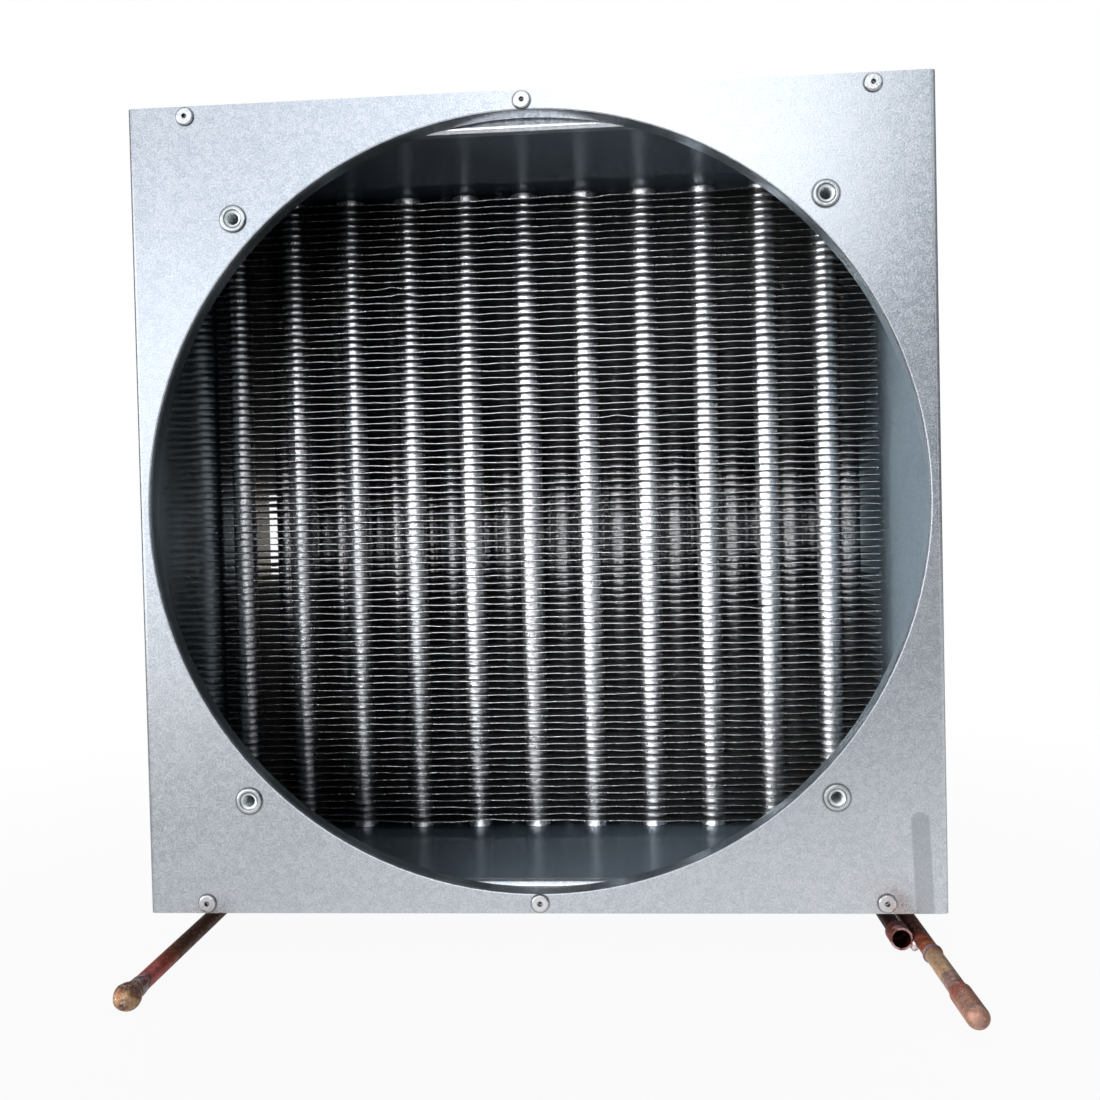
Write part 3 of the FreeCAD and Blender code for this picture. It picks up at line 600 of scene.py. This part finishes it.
def new_group(name, inputs, outputs):
    """A shader node group of plain numbers: inputs is {name: default}, and outputs the names.

    Returns its nodes, what it is given and what it puts out.
    """
    group = bpy.data.node_groups.new(name, "ShaderNodeTree")
    for label, default in inputs.items():
        socket = group.interface.new_socket(label, in_out="INPUT", socket_type="NodeSocketFloat")
        socket.default_value = default
    for label in outputs:
        group.interface.new_socket(label, in_out="OUTPUT", socket_type="NodeSocketFloat")
    n = Nodes(group)
    return n, n.add("NodeGroupInput").outputs, n.add("NodeGroupOutput").inputs


def spangle_group():
    """Zinc crystals: flat cells of slightly different shade, with fine specks over them."""
    n, given, out = new_group(
        "Zinc spangle",
        {"Crystal scale": 260.0, "Speck scale": 1700.0, "Crystal strength": 0.5, "Speck strength": 0.5},
        ("Shade", "Height", "Cloud"))
    place = n.place()
    warp = n.noise(place, 90.0, 2.0)["Color"]
    moved = n.add("ShaderNodeVectorMath", operation="MULTIPLY_ADD")
    moved = n.fill(moved, {0: warp, 1: (0.0012, 0.0012, 0.0012), 2: place})[0]
    cells = n.fill(n.add("ShaderNodeTexVoronoi"), {"Vector": moved, "Scale": given["Crystal scale"]})
    tone = n.fill(n.add("ShaderNodeSeparateColor"), {0: cells["Color"]})
    specks = n.noise(place, given["Speck scale"], 2.0, 0.6)[0]
    crystal = n.product(n.math("SUBTRACT", tone[0], 0.5), given["Crystal strength"])
    speck = n.product(n.math("SUBTRACT", specks, 0.5), given["Speck strength"])
    n.join(n.math("ADD", n.math("ADD", crystal, speck), 0.5, clamp=True), out["Shade"])
    n.join(n.math("ADD", n.product(tone[1], 0.4), specks), out["Height"])
    n.join(n.noise(place, 9.0, 4.0, 0.55)[0], out["Cloud"])


def stain_group():
    """Blotches at two sizes and fine pits, for heated copper and braze."""
    n, given, out = new_group(
        "Heat stain", {"Blotch scale": 60.0, "Pit scale": 900.0}, ("Blotch", "Fine", "Pits"))
    place = n.place()
    blotch = n.noise(place, given["Blotch scale"], 4.0, 0.6, 0.6)[0]
    fine = n.noise(place, 420.0, 4.0, 0.65)[0]
    pits = n.noise(place, given["Pit scale"], 2.0, 0.7)[0]
    n.join(n.span(blotch, 0.32, 0.68), out["Blotch"])
    n.join(n.span(fine, 0.3, 0.7), out["Fine"])
    n.join(n.span(pits, 0.56, 0.72), out["Pits"])


def fastener_group():
    """How far a point is, across the plate, from the nearest rivet and the nearest rivet nut."""
    n, given, out = new_group(
        "Fastener distance",
        {"Rivet across": RIVET_ACROSS, "Rivet up": RIVET_UP, "Nut place": NUT_PLACE * MM},
        ("Rivet", "Nut"))
    x, _, z = n.parts(n.place())
    side = n.math("ABSOLUTE", x)
    up = n.math("ABSOLUTE", z)
    outer = n.math("ABSOLUTE", n.math("SUBTRACT", side, given["Rivet across"]))
    rivet = n.length(n.math("MINIMUM", side, outer), n.math("SUBTRACT", up, given["Rivet up"]))
    nut = given["Nut place"]
    n.join(rivet, out["Rivet"])
    n.join(n.length(n.math("SUBTRACT", side, nut), n.math("SUBTRACT", up, nut)), out["Nut"])


def use_group(n, name, **values):
    """The outputs of the shared group, placed with its own values."""
    node = n.add("ShaderNodeGroup")
    node.node_tree = bpy.data.node_groups[name]
    return n.fill(node, {key.replace("_", " "): value for key, value in values.items()})


def blank_material(name):
    """A material with nothing but its output: the material, its nodes and the surface's socket."""
    material = bpy.data.materials.new(name)
    material.use_nodes = True
    n = Nodes(material.node_tree)
    return material, n, n.add("ShaderNodeOutputMaterial").inputs["Surface"]


def new_material(name):
    """The nodes and the shader of a new material."""
    _, n, surface = blank_material(name)
    shader = n.add("ShaderNodeBsdfPrincipled")
    n.join(shader.outputs[0], surface)
    return n, shader


def dress(n, shader, tone, rough, metal, height, strength, depth):
    """Give the shader its colour, roughness and metal, and a relief from height, depth in metres."""
    relief = n.fill(n.add("ShaderNodeBump"), {"Strength": strength, "Distance": depth, "Height": height})
    n.fill(shader, {"Base Color": tone, "Roughness": rough, "Metallic": metal, "Normal": relief[0]})


def painted_pipe_shadow(n, x, y, z):
    """How strong the painted shadow of the liquid pipe on the plate's face is: a band that rises from the
    plate's lower edge.
    """
    across = n.math("SUBTRACT", n.math("ADD", x, n.product(z, PIPE_SHADOW_LEAN)), PIPE_SHADOW_ACROSS)
    above = n.math("MAXIMUM", n.math("SUBTRACT", z, PIPE_SHADOW_TOP), 0.0)
    mark = n.span(n.length(across, above), *PIPE_SHADOW_FADE, PIPE_SHADOW_STRENGTH, 0.0)
    return n.product(mark, n.math("LESS_THAN", y, FACE_DEPTH))


def zinc_material(name, inner_from, left_painted_shading, right_painted_shading, left_rough, inner_metal):
    """Galvanised sheet: spangle in colour, roughness and a little in relief.

    The faces inside the housing, from the depth inner_from in metres, have the metal
    inner_metal and painted light and shade: their colour is multiplied by a tint that
    grows lighter from the left to the right wall, and they get rougher near the right wall.
    left_rough is by what share the rest of them is rougher than the outside.
    """
    n, shader = new_material(name)
    light, dark = settings().zinc, settings().zinc_dark
    spangle = use_group(n, "Zinc spangle", Crystal_scale=620.0, Speck_scale=1550.0,
                        Crystal_strength=0.36, Speck_strength=2.5)
    tone = n.blend(spangle["Shade"], dark, light)
    tone = n.blend(n.span(spangle["Cloud"], 0.35, 0.75, 0.0, 0.16), tone, scaled(dark, 0.72))

    # Painted light and shade on the faces inside: darker at the left, lighter toward the right wall, and a
    # painted warm light at the rear of the left side.
    x, y, z = n.parts(n.place())
    inner = n.product(
        n.span(y, inner_from, inner_from + 0.002),
        n.math("LESS_THAN", n.math("ABSOLUTE", x), INNER_SIDE),
        n.math("LESS_THAN", z, INNER_TOP),
        n.math("GREATER_THAN", z, INNER_BOTTOM))
    film = n.blend(n.span(x, -0.1, INNER_SIDE), left_painted_shading, right_painted_shading)
    painted_warm_light = n.product(n.span(y, 0.088, 0.11), n.span(x, -0.12, -0.1, 1.0, 0.0))
    film = n.blend(painted_warm_light, film, (1.0, 0.8, 0.62))
    tone = n.blend(inner, tone, film, "MULTIPLY")

    # Painted shade: a dark line round each fastener's head where it meets the plate, and the painted shadow
    # of the liquid pipe.
    near = use_group(n, "Fastener distance")
    ring = n.math("MAXIMUM", n.span(near["Rivet"], 0.0034, 0.0037, 0.55, 0.0),
                  n.span(near["Nut"], 0.005, 0.0054, 0.55, 0.0))
    ring = n.product(ring, n.math("LESS_THAN", y, FACE_DEPTH))
    tone = n.blend(ring, tone, (0.06, 0.065, 0.075))
    # The painted shadow of the liquid pipe darkens the plate in a band above it.
    tone = n.blend(painted_pipe_shadow(n, x, y, z), tone, scaled(dark, 0.6))

    rough = n.span(spangle["Shade"], 0.2, 0.8, 0.17, 0.27)
    change = n.product(inner, n.span(x, 0.1, 0.14, left_rough, 1.7))
    rough = n.product(rough, n.math("ADD", 1.0, change))
    metal = ZINC_METAL
    if inner_metal != ZINC_METAL:
        metal = n.span(inner, 0.0, 1.0, ZINC_METAL, inner_metal)
    dress(n, shader, tone, rough, metal, spangle["Height"], 0.08, 0.0003)


def fin_material(name, shade, rough_low, rough_high, relief):
    """Thin rolled aluminium: dust, dull blotches and fine marks, its colour scaled by shade: below 1 that
    is painted shade, above 1 painted light.
    """
    n, shader = new_material(name)
    base = scaled(settings().aluminium, shade)
    stain = use_group(n, "Heat stain", Blotch_scale=120.0, Pit_scale=1400.0)
    tone = n.blend(stain["Fine"], scaled(base, 0.78), base)
    tone = n.blend(n.product(stain["Blotch"], 0.35), tone, scaled(base, 0.6))
    grain = n.noise(n.place(), 1300.0, 2.0, 0.6)[0]
    rough = n.span(stain["Fine"], 0.0, 1.0, rough_low, rough_high)
    dress(n, shader, tone, rough, 1.0, grain, relief, 0.0004)


def bright_material(name, base, rough):
    """Braze metal with fine marks."""
    n, shader = new_material(name)
    stain = use_group(n, "Heat stain", Blotch_scale=300.0, Pit_scale=2600.0)
    tone = n.blend(stain["Blotch"], base, scaled(base, 0.8))
    rough = n.span(stain["Fine"], 0.0, 1.0, rough, rough + 0.14)
    dress(n, shader, tone, rough, 1.0, stain["Fine"], 0.12, 0.0002)


def ringed_material(name, fastener, base, rings, bore=0.0):
    """A fastener darkened by rings of painted shade, by the distance from its axis in millimetres.

    Inside the radius bore, its threads scatter the light and look less like a mirror.
    """
    n, shader = new_material(name)
    near = use_group(n, "Fastener distance")[fastener]
    stain = use_group(n, "Heat stain", Blotch_scale=420.0, Pit_scale=2600.0)
    reach = rings[-1][0]
    shade = n.ramp(n.span(near, 0.0, reach * MM), [(r / reach, (v, v, v)) for r, v in rings])
    tone = n.blend(n.product(stain["Blotch"], 0.4), base, scaled(base, 0.6))
    tone = n.blend(1.0, tone, shade, "MULTIPLY")
    rough = n.span(stain["Fine"], 0.0, 1.0, 0.14, 0.28)
    metal = 1.0
    if bore:
        metal = n.span(near, bore * MM, (bore + 0.3) * MM, 0.35, 1.0)
    dress(n, shader, tone, rough, metal, stain["Fine"], 0.25, 0.0003)


def copper_material(name, bright, brown, dark, patina):
    """Copper darkened by the brazing flame: brown film, dark blotches and grey-tan patches."""
    n, shader = new_material(name)
    stain = use_group(n, "Heat stain", Blotch_scale=95.0, Pit_scale=1100.0)
    tone = n.blend(stain["Blotch"], brown, bright)
    tone = n.blend(n.product(stain["Fine"], 0.45), tone, dark)
    tone = n.blend(n.product(stain["Pits"], 0.5), tone, patina)
    rough = n.span(stain["Blotch"], 0.0, 1.0, 0.52, 0.3)
    dress(n, shader, tone, rough, 0.85, stain["Fine"], 0.25, 0.0004)


def pipe_material(name, rear, front, heat, patina, metal=0.8, drift=0.22, bore=None):
    """Copper whose heat colours change along the pipe, from y = rear to y = front in metres.

    drift is how far its blotches shift them. bore is the (x, z, radius) of a bore along y
    that is coloured near black.
    """
    n, shader = new_material(name)
    stain = use_group(n, "Heat stain", Blotch_scale=150.0, Pit_scale=900.0)
    x, y, z = n.parts(n.place())
    shift = n.product(n.math("SUBTRACT", stain["Blotch"], 0.5), drift)
    tone = n.ramp(n.math("ADD", n.span(y, rear, front), shift, clamp=True), heat)
    tone = n.blend(n.product(stain["Fine"], 0.55), tone, SOOT)
    tone = n.blend(n.product(stain["Pits"], 0.55), tone, patina)
    if bore:
        bore_x, bore_z, radius = bore
        away = n.length(n.math("SUBTRACT", x, bore_x), n.math("SUBTRACT", z, bore_z))
        tone = n.blend(n.math("LESS_THAN", away, radius), tone, BORE_DARK)
    rough = n.span(stain["Blotch"], 0.0, 1.0, 0.6, 0.42)
    dress(n, shader, tone, rough, metal, stain["Fine"], 0.3, 0.0004)


def give(finish, *names):
    """The finish of nodes of the frame."""
    for name in names:
        piece = frame_nodes[name]
        piece.data.materials.clear()
        piece.data.materials.append(bpy.data.materials[finish])


def finish_piece(piece, finish, slot, *replaced):
    """Rides on the body, takes its finish, and stands for the nodes named. slot is not used."""
    piece.data.materials.append(bpy.data.materials[finish])
    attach(piece, BODY)
    if replaced:
        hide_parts(*replaced)


# Settings
def colour_setting(name, description, default):
    """A colour that the panel shows."""
    return bpy.props.FloatVectorProperty(
        name=name, description=description, subtype="COLOR", default=default, min=0.0, max=1.0)


class CondenserSettings(bpy.types.PropertyGroup):
    fin_wave: bpy.props.FloatProperty(
        name="Fin wave", description="Height of the waves along a fin, in millimetres",
        default=0.11, min=0.0, max=0.4)
    fin_sheet: bpy.props.FloatProperty(
        name="Fin sheet", description="Thickness of a fin, in millimetres",
        default=0.14, min=0.1, max=0.4)
    fin_burr: bpy.props.FloatProperty(
        name="Fin burr", description="Thickness of a fin's front and rear edges, in millimetres",
        default=0.2, min=0.1, max=0.4)
    collar_radius: bpy.props.FloatProperty(
        name="Collar radius", description="Outer radius of a fin collar, in millimetres",
        default=4.94, min=4.9, max=5.4)
    lip_radius: bpy.props.FloatProperty(
        name="Lip radius", description="Outer radius of a collar's flared lip, in millimetres",
        default=5.75, min=5.0, max=6.0)
    zinc: colour_setting("Zinc", "Light crystals of the galvanised sheet", (0.755, 0.777, 0.815))
    zinc_dark: colour_setting("Dark zinc", "Dark crystals of the galvanised sheet", (0.485, 0.523, 0.57))
    aluminium: colour_setting("Aluminium", "Bare aluminium of the fins", (0.72, 0.73, 0.75))
    copper: colour_setting("Copper", "Cleaner copper", (0.52, 0.22, 0.13))
    copper_dark: colour_setting("Burnt copper", "Copper with a dark heat film", (0.16, 0.05, 0.035))
    braze: colour_setting("Braze", "Silver braze metal", (0.62, 0.55, 0.48))


def settings():
    """The panel's values."""
    return bpy.context.scene.condenser


# Operators
class CONDENSER_OT_finishes(bpy.types.Operator):
    """Make the shared node groups and the materials"""
    bl_idname = "condenser.finishes"
    bl_label = "Finishes"

    def execute(self, context):
        s = settings()
        spangle_group()
        stain_group()
        fastener_group()
        # After the depth come two tints of painted shade and light for the faces inside, at their left and
        # toward their right wall.
        zinc_material("galvanised shroud", 0.001, (0.24, 0.29, 0.31), (1.1, 1.27, 1.32), -0.4, ZINC_METAL)
        zinc_material("galvanised end plate", 0.0115, (0.15, 0.19, 0.23), (0.24, 0.3, 0.34), -0.1, 0.65)
        # The fin sheet's aluminium is darkened to a fifth as painted shade in the gaps between the fins;
        # the collars' is lightened as painted light.
        fin_material("fin sheet", 0.2, 0.3, 0.5, 0.1)
        fin_material("fin collar", 1.3, 0.23, 0.4, 0.5)
        fin_material("fin edge", 0.95, 0.15, 0.34, 0.6)
        ringed_material("rivet aluminium", "Rivet", (0.82, 0.83, 0.85), RIVET_PAINTED_SHADE)
        ringed_material("nut steel", "Nut", (0.72, 0.76, 0.77), NUT_PAINTED_SHADE, 2.7)
        bright_material("braze metal", s.braze, 0.3)
        bright_material("ring braze", (0.24, 0.16, 0.2), 0.55)
        copper_material("tube copper", (0.62, 0.3, 0.19), s.copper, (0.22, 0.08, 0.05), (0.5, 0.4, 0.33))
        copper_material("burnt copper", s.copper, s.copper_dark, (0.07, 0.025, 0.02), (0.48, 0.36, 0.3))
        pipe_material("inlet copper", 0.02, -0.036, INLET_HEAT, (0.5, 0.36, 0.36))
        pipe_material("ball braze", -0.024, -0.044, BALL_HEAT, (0.75, 0.68, 0.78), 0.9, 0.8)
        pipe_material("liquid copper", 0.01, -0.058, LIQUID_HEAT, (0.62, 0.5, 0.43))
        pipe_material("stub copper", 0.07, 0.009, STUB_HEAT, (0.4, 0.22, 0.2), bore=STUB_BORE)
        pipe_material("web braze", 0.03, 0.008, WEB_HEAT, (0.9, 0.84, 0.86))
        return {"FINISHED"}


class CONDENSER_OT_sheet_metal(bpy.types.Operator):
    """Finish the shroud and the two end plates"""
    bl_idname = "condenser.sheet_metal"
    bl_label = "Sheet metal"

    def execute(self, context):
        give("galvanised shroud", "shroud")
        give("galvanised end plate", "end_plate_top", "end_plate_bottom")
        return {"FINISHED"}


class CONDENSER_OT_fins(bpy.types.Operator):
    """Make the wavy fins with their collars, in six banks from the bottom up"""
    bl_idname = "condenser.fins"
    bl_label = "Fins"

    def execute(self, context):
        s = settings()
        points, faces, finish = fin_template(s.fin_sheet, s.fin_burr, s.collar_radius, s.lip_radius)
        random = np.random.default_rng(11)
        lifts = [fin_waves(points, number, s.fin_wave, random) for number in range(FIN_COUNT)]
        for bank, node in enumerate(FIN_NODES):
            first = bank * BANK_FINS
            numbers = np.arange(first, min(first + BANK_FINS, FIN_COUNT))
            levels = FIN_MIDDLE + (numbers - (FIN_COUNT - 1) / 2) * FIN_SPACING
            copies = np.repeat(points[None], len(numbers), 0)
            if numbers[-1] == FIN_COUNT - 1:
                reach_end_plate(copies[-1])
            copies[..., 2] += levels[:, None] + np.array([lifts[i] for i in numbers])
            index = faces[None] + (np.arange(len(numbers)) * len(points))[:, None, None]
            all_points, all_faces = copies.reshape(-1, 3), index.reshape(-1, 4)
            finishes = np.tile(finish, len(numbers))
            if bank == 0:
                sleeves = [turned(SLEEVE, 16, (x, y, levels[0]), (0, 0, 1), loop=True)
                           for _, x, y in tube_sites()]
                extra, quads = joined(sleeves)
                all_faces = np.concatenate([all_faces, quads + len(all_points)])
                all_points = np.concatenate([all_points, extra])
                finishes = np.concatenate([finishes, np.full(len(quads), COLLAR)])
            piece = make_piece("fin_bank_%d" % (bank + 1), all_points, all_faces)
            finish_piece(piece, FIN_FINISHES[SHEET], "fin_aluminium", node)
            for name in FIN_FINISHES[COLLAR:]:
                piece.data.materials.append(bpy.data.materials[name])
            piece.data.polygons.foreach_set("material_index", finishes.astype(np.int32))
        return {"FINISHED"}


class CONDENSER_OT_tubes(bpy.types.Operator):
    """Finish the hairpins, the return bends and their braze fillets"""
    bl_idname = "condenser.tubes"
    bl_label = "Tubes"

    def execute(self, context):
        give("tube copper", *[name for name in frame_nodes if name.startswith(("hairpin", "return_bend"))])
        give("braze metal", "braze_fillets")
        return {"FINISHED"}


def thread(r, h, a):
    """Radius of a threaded bore: the core radius plus a triangle wave that climbs one pitch a turn."""
    turn = h / THREAD_PITCH - a / TURN
    wave = 1.0 - np.abs(2.0 * (turn - np.floor(turn)) - 1.0)
    fade = np.clip((h - THREAD_START) / THREAD_RUNOUT, 0.0, 1.0)
    fade *= np.clip((THREAD_END - h) / THREAD_RUNOUT, 0.0, 1.0)
    return np.where(np.abs(r - NUT_BORE) < 1e-6, r + THREAD_DEPTH * wave * fade, r)


def ball_profile():
    """The brazed ball and its neck as (radius, height): a curve up the pipe, then an arc over the ball."""
    neck = np.linspace(NECK_FAR, NECK_NEAR, 24)
    angles = np.linspace(math.radians(140), 0.0, 20)[:-1]
    share = (neck - NECK_FAR) / (NECK_NEAR - NECK_FAR)
    profile = [(0.0, NECK_FAR - 0.1)]
    profile += list(zip(2.95 + 0.72 * share ** 1.4, neck))
    profile += [(BALL_RADIUS * math.sin(t), BALL_RADIUS * math.cos(t)) for t in angles]
    return profile + [(0.0, BALL_RADIUS * (1.0 - 0.035))]


def lumps(r, h, a):
    """Radius of the brazed ball: small hollows, and a smear that ends unevenly on the pipe."""
    hollow = 0.5 + 0.22 * np.sin(3 * a + 1.1 * h) + 0.16 * np.sin(2 * a - 0.7 * h + 1.0)
    hollow += 0.12 * np.sin(5 * a + 2.3 * h + 2.0)
    ragged = 2.4 * np.sin(2 * a + 0.6) + 1.3 * np.sin(5 * a)
    smear = np.clip((h - SMEAR_END + ragged) / SMEAR_FADE, 0.0, 1.0)
    on_pipe = SKIN_RADIUS + (r - SKIN_RADIUS) * smear - 0.25 * hollow * smear
    return np.where(h < -3.2, on_pipe, r * (1.0 - 0.07 * hollow))


def web_profile():
    """The braze web as (share of its width, height), closed and rounded at both ends."""
    rise = np.linspace(0.0, math.pi, 22)
    profile = np.column_stack([np.sin(rise) ** 0.5, -WEB_REACH * np.cos(rise)])
    profile[[0, -1], 0] = 0.0
    return profile


def web_section(r, h, a):
    """Radius of the braze web: an ellipse, higher than it is wide, with a lumpy edge."""
    ellipse = 1.0 / np.sqrt((np.cos(a) / WEB_WIDE) ** 2 + (np.sin(a) / WEB_HIGH) ** 2)
    return r * ellipse * (1.0 + 0.07 * np.sin(4 * a + 0.9 * h) + 0.05 * np.sin(7 * a - 1.6 * h))


class CONDENSER_OT_fasteners(bpy.types.Operator):
    """Finish the rivets and make the threaded rivet nuts"""
    bl_idname = "condenser.fasteners"
    bl_label = "Fasteners"

    def execute(self, context):
        give("rivet aluminium", "plate_rivets")
        depths = np.arange(THREAD_END, THREAD_START - TOUCH, -THREAD_PITCH / 6)
        profile = NUT_BODY + [(NUT_BORE, h) for h in depths] + NUT_MOUTH
        nuts = [turned(profile, 28, (x, 0.0, z), (0, 1, 0), thread, loop=True)
                for x in (-NUT_PLACE, NUT_PLACE) for z in (-NUT_PLACE, NUT_PLACE)]
        points, quads = joined(nuts)
        piece = make_piece("threaded_rivet_nuts", points, quads, sharp=50.0)
        finish_piece(piece, "nut steel", "nut_steel", "fan_rivet_nuts")
        return {"FINISHED"}


class CONDENSER_OT_pipes(bpy.types.Operator):
    """Finish the connection pipes and make the brazed ball and the braze web"""
    bl_idname = "condenser.pipes"
    bl_label = "Pipes"

    def execute(self, context):
        give("burnt copper", "inlet_reducer", "outlet_elbow")
        give("stub copper", "outlet_twin_socket", "process_stub")
        give("inlet copper", "inlet_pipe")
        give("liquid copper", "liquid_pipe", "liquid_end_cap")
        give("ring braze", "liquid_braze_ring")
        ball = turned(ball_profile(), 40, BALL_PLACE, (0, -1, 0), lumps)
        finish_piece(make_piece("inlet_ball_braze", *ball), "ball braze", "braze", "inlet_ball")
        web = turned(web_profile(), 28, WEB_PLACE, (0, 1, 0), web_section)
        finish_piece(make_piece("twin_braze_web", *web), "web braze", "braze")
        return {"FINISHED"}


def area_light(name, place, target, size, power):
    """A soft light at place, turned to target."""
    light = bpy.data.lights.new(name, "AREA")
    light.shape = "RECTANGLE"
    light.size, light.size_y = size
    light.energy = power
    lamp = bpy.data.objects.new(name, light)
    lamp.location = place
    lamp.rotation_euler = (Vector(target) - Vector(place)).to_track_quat("-Z", "Y").to_euler()
    bpy.context.scene.collection.objects.link(lamp)
    return lamp


def receivers(name, starts):
    """A collection of the pieces whose names start so, for the lamps that light only them."""
    lit = bpy.data.collections.new(name)
    for piece in bpy.data.objects:
        if piece.name.startswith(starts):
            lit.objects.link(piece)
    return lit


def plane(name, points):
    """A flat stage surface with four corners."""
    mesh = bpy.data.meshes.new(name)
    mesh.from_pydata(points, [], [(0, 1, 2, 3)])
    surface = bpy.data.objects.new(name, mesh)
    bpy.context.scene.collection.objects.link(surface)
    return surface


def seen_plainly(n, path):
    """1 for what the camera sees, also through glass, otherwise 0."""
    return n.math("MAXIMUM", path["Is Camera Ray"], path["Is Transmission Ray"])


def seen_through(n, path):
    """1 for what the camera sees through the coil's rear film, otherwise 0."""
    return n.product(path["Is Camera Ray"], n.math("GREATER_THAN", path["Transparent Depth"], 0.5))


def floor_material():
    """A pale floor that fades to plain white away from the object and keeps a soft shadow near it.

    In reflections it is white in front, and its shade changes from left to right.
    """
    material, n, surface = blank_material("floor")
    shader = n.add("ShaderNodeBsdfPrincipled")
    n.fill(shader, {"Base Color": (0.4, 0.4, 0.4, 1.0), "Roughness": 0.9})
    place = n.place()
    x, y, _ = n.parts(place)
    path = n.add("ShaderNodeLightPath").outputs
    left = n.span(y, -0.6, -0.1, 1.0, 0.2)
    right = n.span(y, -0.6, -0.08, 0.3, 0.9)
    front = n.product(n.span(x, -0.35, -0.05, left, right), n.span(y, -0.05, 0.12, 1.0, 0.2))
    seen = n.math("MAXIMUM", seen_plainly(n, path), n.product(path["Is Glossy Ray"], front))
    away = n.fill(n.add("ShaderNodeVectorMath", operation="LENGTH"), {0: place})["Value"]
    share = n.product(seen, n.span(away, 0.2, 0.6, 0.94, 1.0))
    white = n.fill(n.add("ShaderNodeEmission"), {"Color": n.blend(seen_through(n, path), WHITE, COIL_DARK)})
    mix = n.fill(n.add("ShaderNodeMixShader"), {0: share, 1: shader.outputs[0], 2: white[0]})
    n.join(mix[0], surface)
    return material


def film_material():
    """The clear film behind the coil, which shows what is seen through it."""
    material, n, surface = blank_material("rear film")
    n.join(n.add("ShaderNodeBsdfTransparent").outputs[0], surface)
    return material


def studio(scene):
    """The world: white where it is seen, dark where it is seen through the coil.

    For its light it is brighter in front than behind.
    """
    world = scene.world or bpy.data.worlds.new("world")
    scene.world = world
    world.use_nodes = True
    n = Nodes(world.node_tree)
    x, y, z = n.parts(n.add("ShaderNodeTexCoord").outputs["Generated"])

    # In front it is brightest left of the middle and dims to the right. Above it is bright too.
    side = n.product(n.span(x, -0.5, -0.1, 0.8, 1.5), n.span(x, -0.06, 0.3, 1.0, 0.18))
    level = n.math("MAXIMUM", side, n.span(z, 0.12, 0.36, 0.0, 0.85))

    # A window on the left, which the plate's left side mirrors.
    window = n.product(
        n.span(x, -0.6, -0.5, 0.0, 0.85),
        n.span(x, -0.36, -0.26, 1.0, 0.3),
        n.span(x, -0.08, -0.02, 1.0, 0.0),
        n.span(n.math("ABSOLUTE", z), 0.15, 0.3, 1.0, 0.0))
    level = n.math("ADD", level, window)
    front = n.add("ShaderNodeVectorMath", operation="SCALE")
    front = n.fill(front, {0: (0.93, 0.975, 1.03), "Scale": level})[0]

    # It dims to the rear, and straight in front it has a small dark spot.
    tone = n.blend(n.span(y, -0.5, 0.35), front, (0.16, 0.17, 0.18))
    tone = n.blend(n.span(y, -0.999, -0.996, 0.75, 0.0), tone, (0.06, 0.06, 0.07))
    path = n.add("ShaderNodeLightPath").outputs
    tone = n.blend(seen_plainly(n, path), tone, WHITE)
    tone = n.blend(seen_through(n, path), tone, COIL_DARK)
    back = n.fill(n.add("ShaderNodeBackground"), {"Color": tone})
    n.join(back[0], n.add("ShaderNodeOutputWorld").inputs["Surface"])


class CONDENSER_OT_stage(bpy.types.Operator):
    """Make the camera, the lights, the pale floor and the background"""
    bl_idname = "condenser.stage"
    bl_label = "Stage"

    def execute(self, context):
        scene = context.scene
        scene.view_settings.view_transform = "Standard"
        camera = bpy.data.objects.new("camera", bpy.data.cameras.new("camera"))
        camera.data.sensor_width = CAMERA_SENSOR
        camera.data.lens = CAMERA_LENS
        camera.data.clip_start = CAMERA_NEAR
        turn = Matrix.Identity(3)
        for angle, axis in CAMERA_TURNS:
            turn = turn @ Matrix.Rotation(angle, 3, axis)
        camera.matrix_world = Matrix.Translation(CAMERA_PLACE) @ turn.to_4x4()
        scene.collection.objects.link(camera)
        scene.camera = camera

        floor = plane("floor", [(x, y, cad_box[0].z) for x, y in FLOOR_CORNERS])
        floor.data.materials.append(floor_material())
        film = plane("rear_film", [(x, FILM_DEPTH, z) for x, z in FILM_CORNERS])
        film.data.materials.append(film_material())
        studio(scene)
        lit = {name: receivers(name, starts) for name, starts in LIT_PIECES.items()}
        for name, place, target, size, power, pieces in LAMPS:
            lamp = area_light(name, place, target, size, power)
            if pieces:
                lamp.light_linking.receiver_collection = lit[pieces]
        return {"FINISHED"}


class CONDENSER_PT_panel(bpy.types.Panel):
    """The condenser's operators and sizes"""
    bl_idname = "CONDENSER_PT_panel"
    bl_label = "Condenser"
    bl_space_type = "VIEW_3D"
    bl_region_type = "UI"
    bl_category = "Condenser"

    def draw(self, context):
        for operator in OPERATORS:
            self.layout.operator(operator.bl_idname)
        for name in CondenserSettings.__annotations__:
            self.layout.prop(context.scene.condenser, name)


OPERATORS = (
    CONDENSER_OT_finishes,
    CONDENSER_OT_sheet_metal,
    CONDENSER_OT_fins,
    CONDENSER_OT_tubes,
    CONDENSER_OT_fasteners,
    CONDENSER_OT_pipes,
    CONDENSER_OT_stage,
)
CLASSES = (CondenserSettings, *OPERATORS, CONDENSER_PT_panel)


def register():
    for item in CLASSES:
        bpy.utils.register_class(item)
    bpy.types.Scene.condenser = bpy.props.PointerProperty(type=CondenserSettings)


def unregister():
    del bpy.types.Scene.condenser
    for item in reversed(CLASSES):
        bpy.utils.unregister_class(item)


def main():
    """Builds everything in order."""
    register()
    bpy.ops.condenser.finishes()
    bpy.ops.condenser.sheet_metal()
    bpy.ops.condenser.fins()
    bpy.ops.condenser.tubes()
    bpy.ops.condenser.fasteners()
    bpy.ops.condenser.pipes()
    bpy.ops.condenser.stage()


if __name__ == "__main__":
    main()
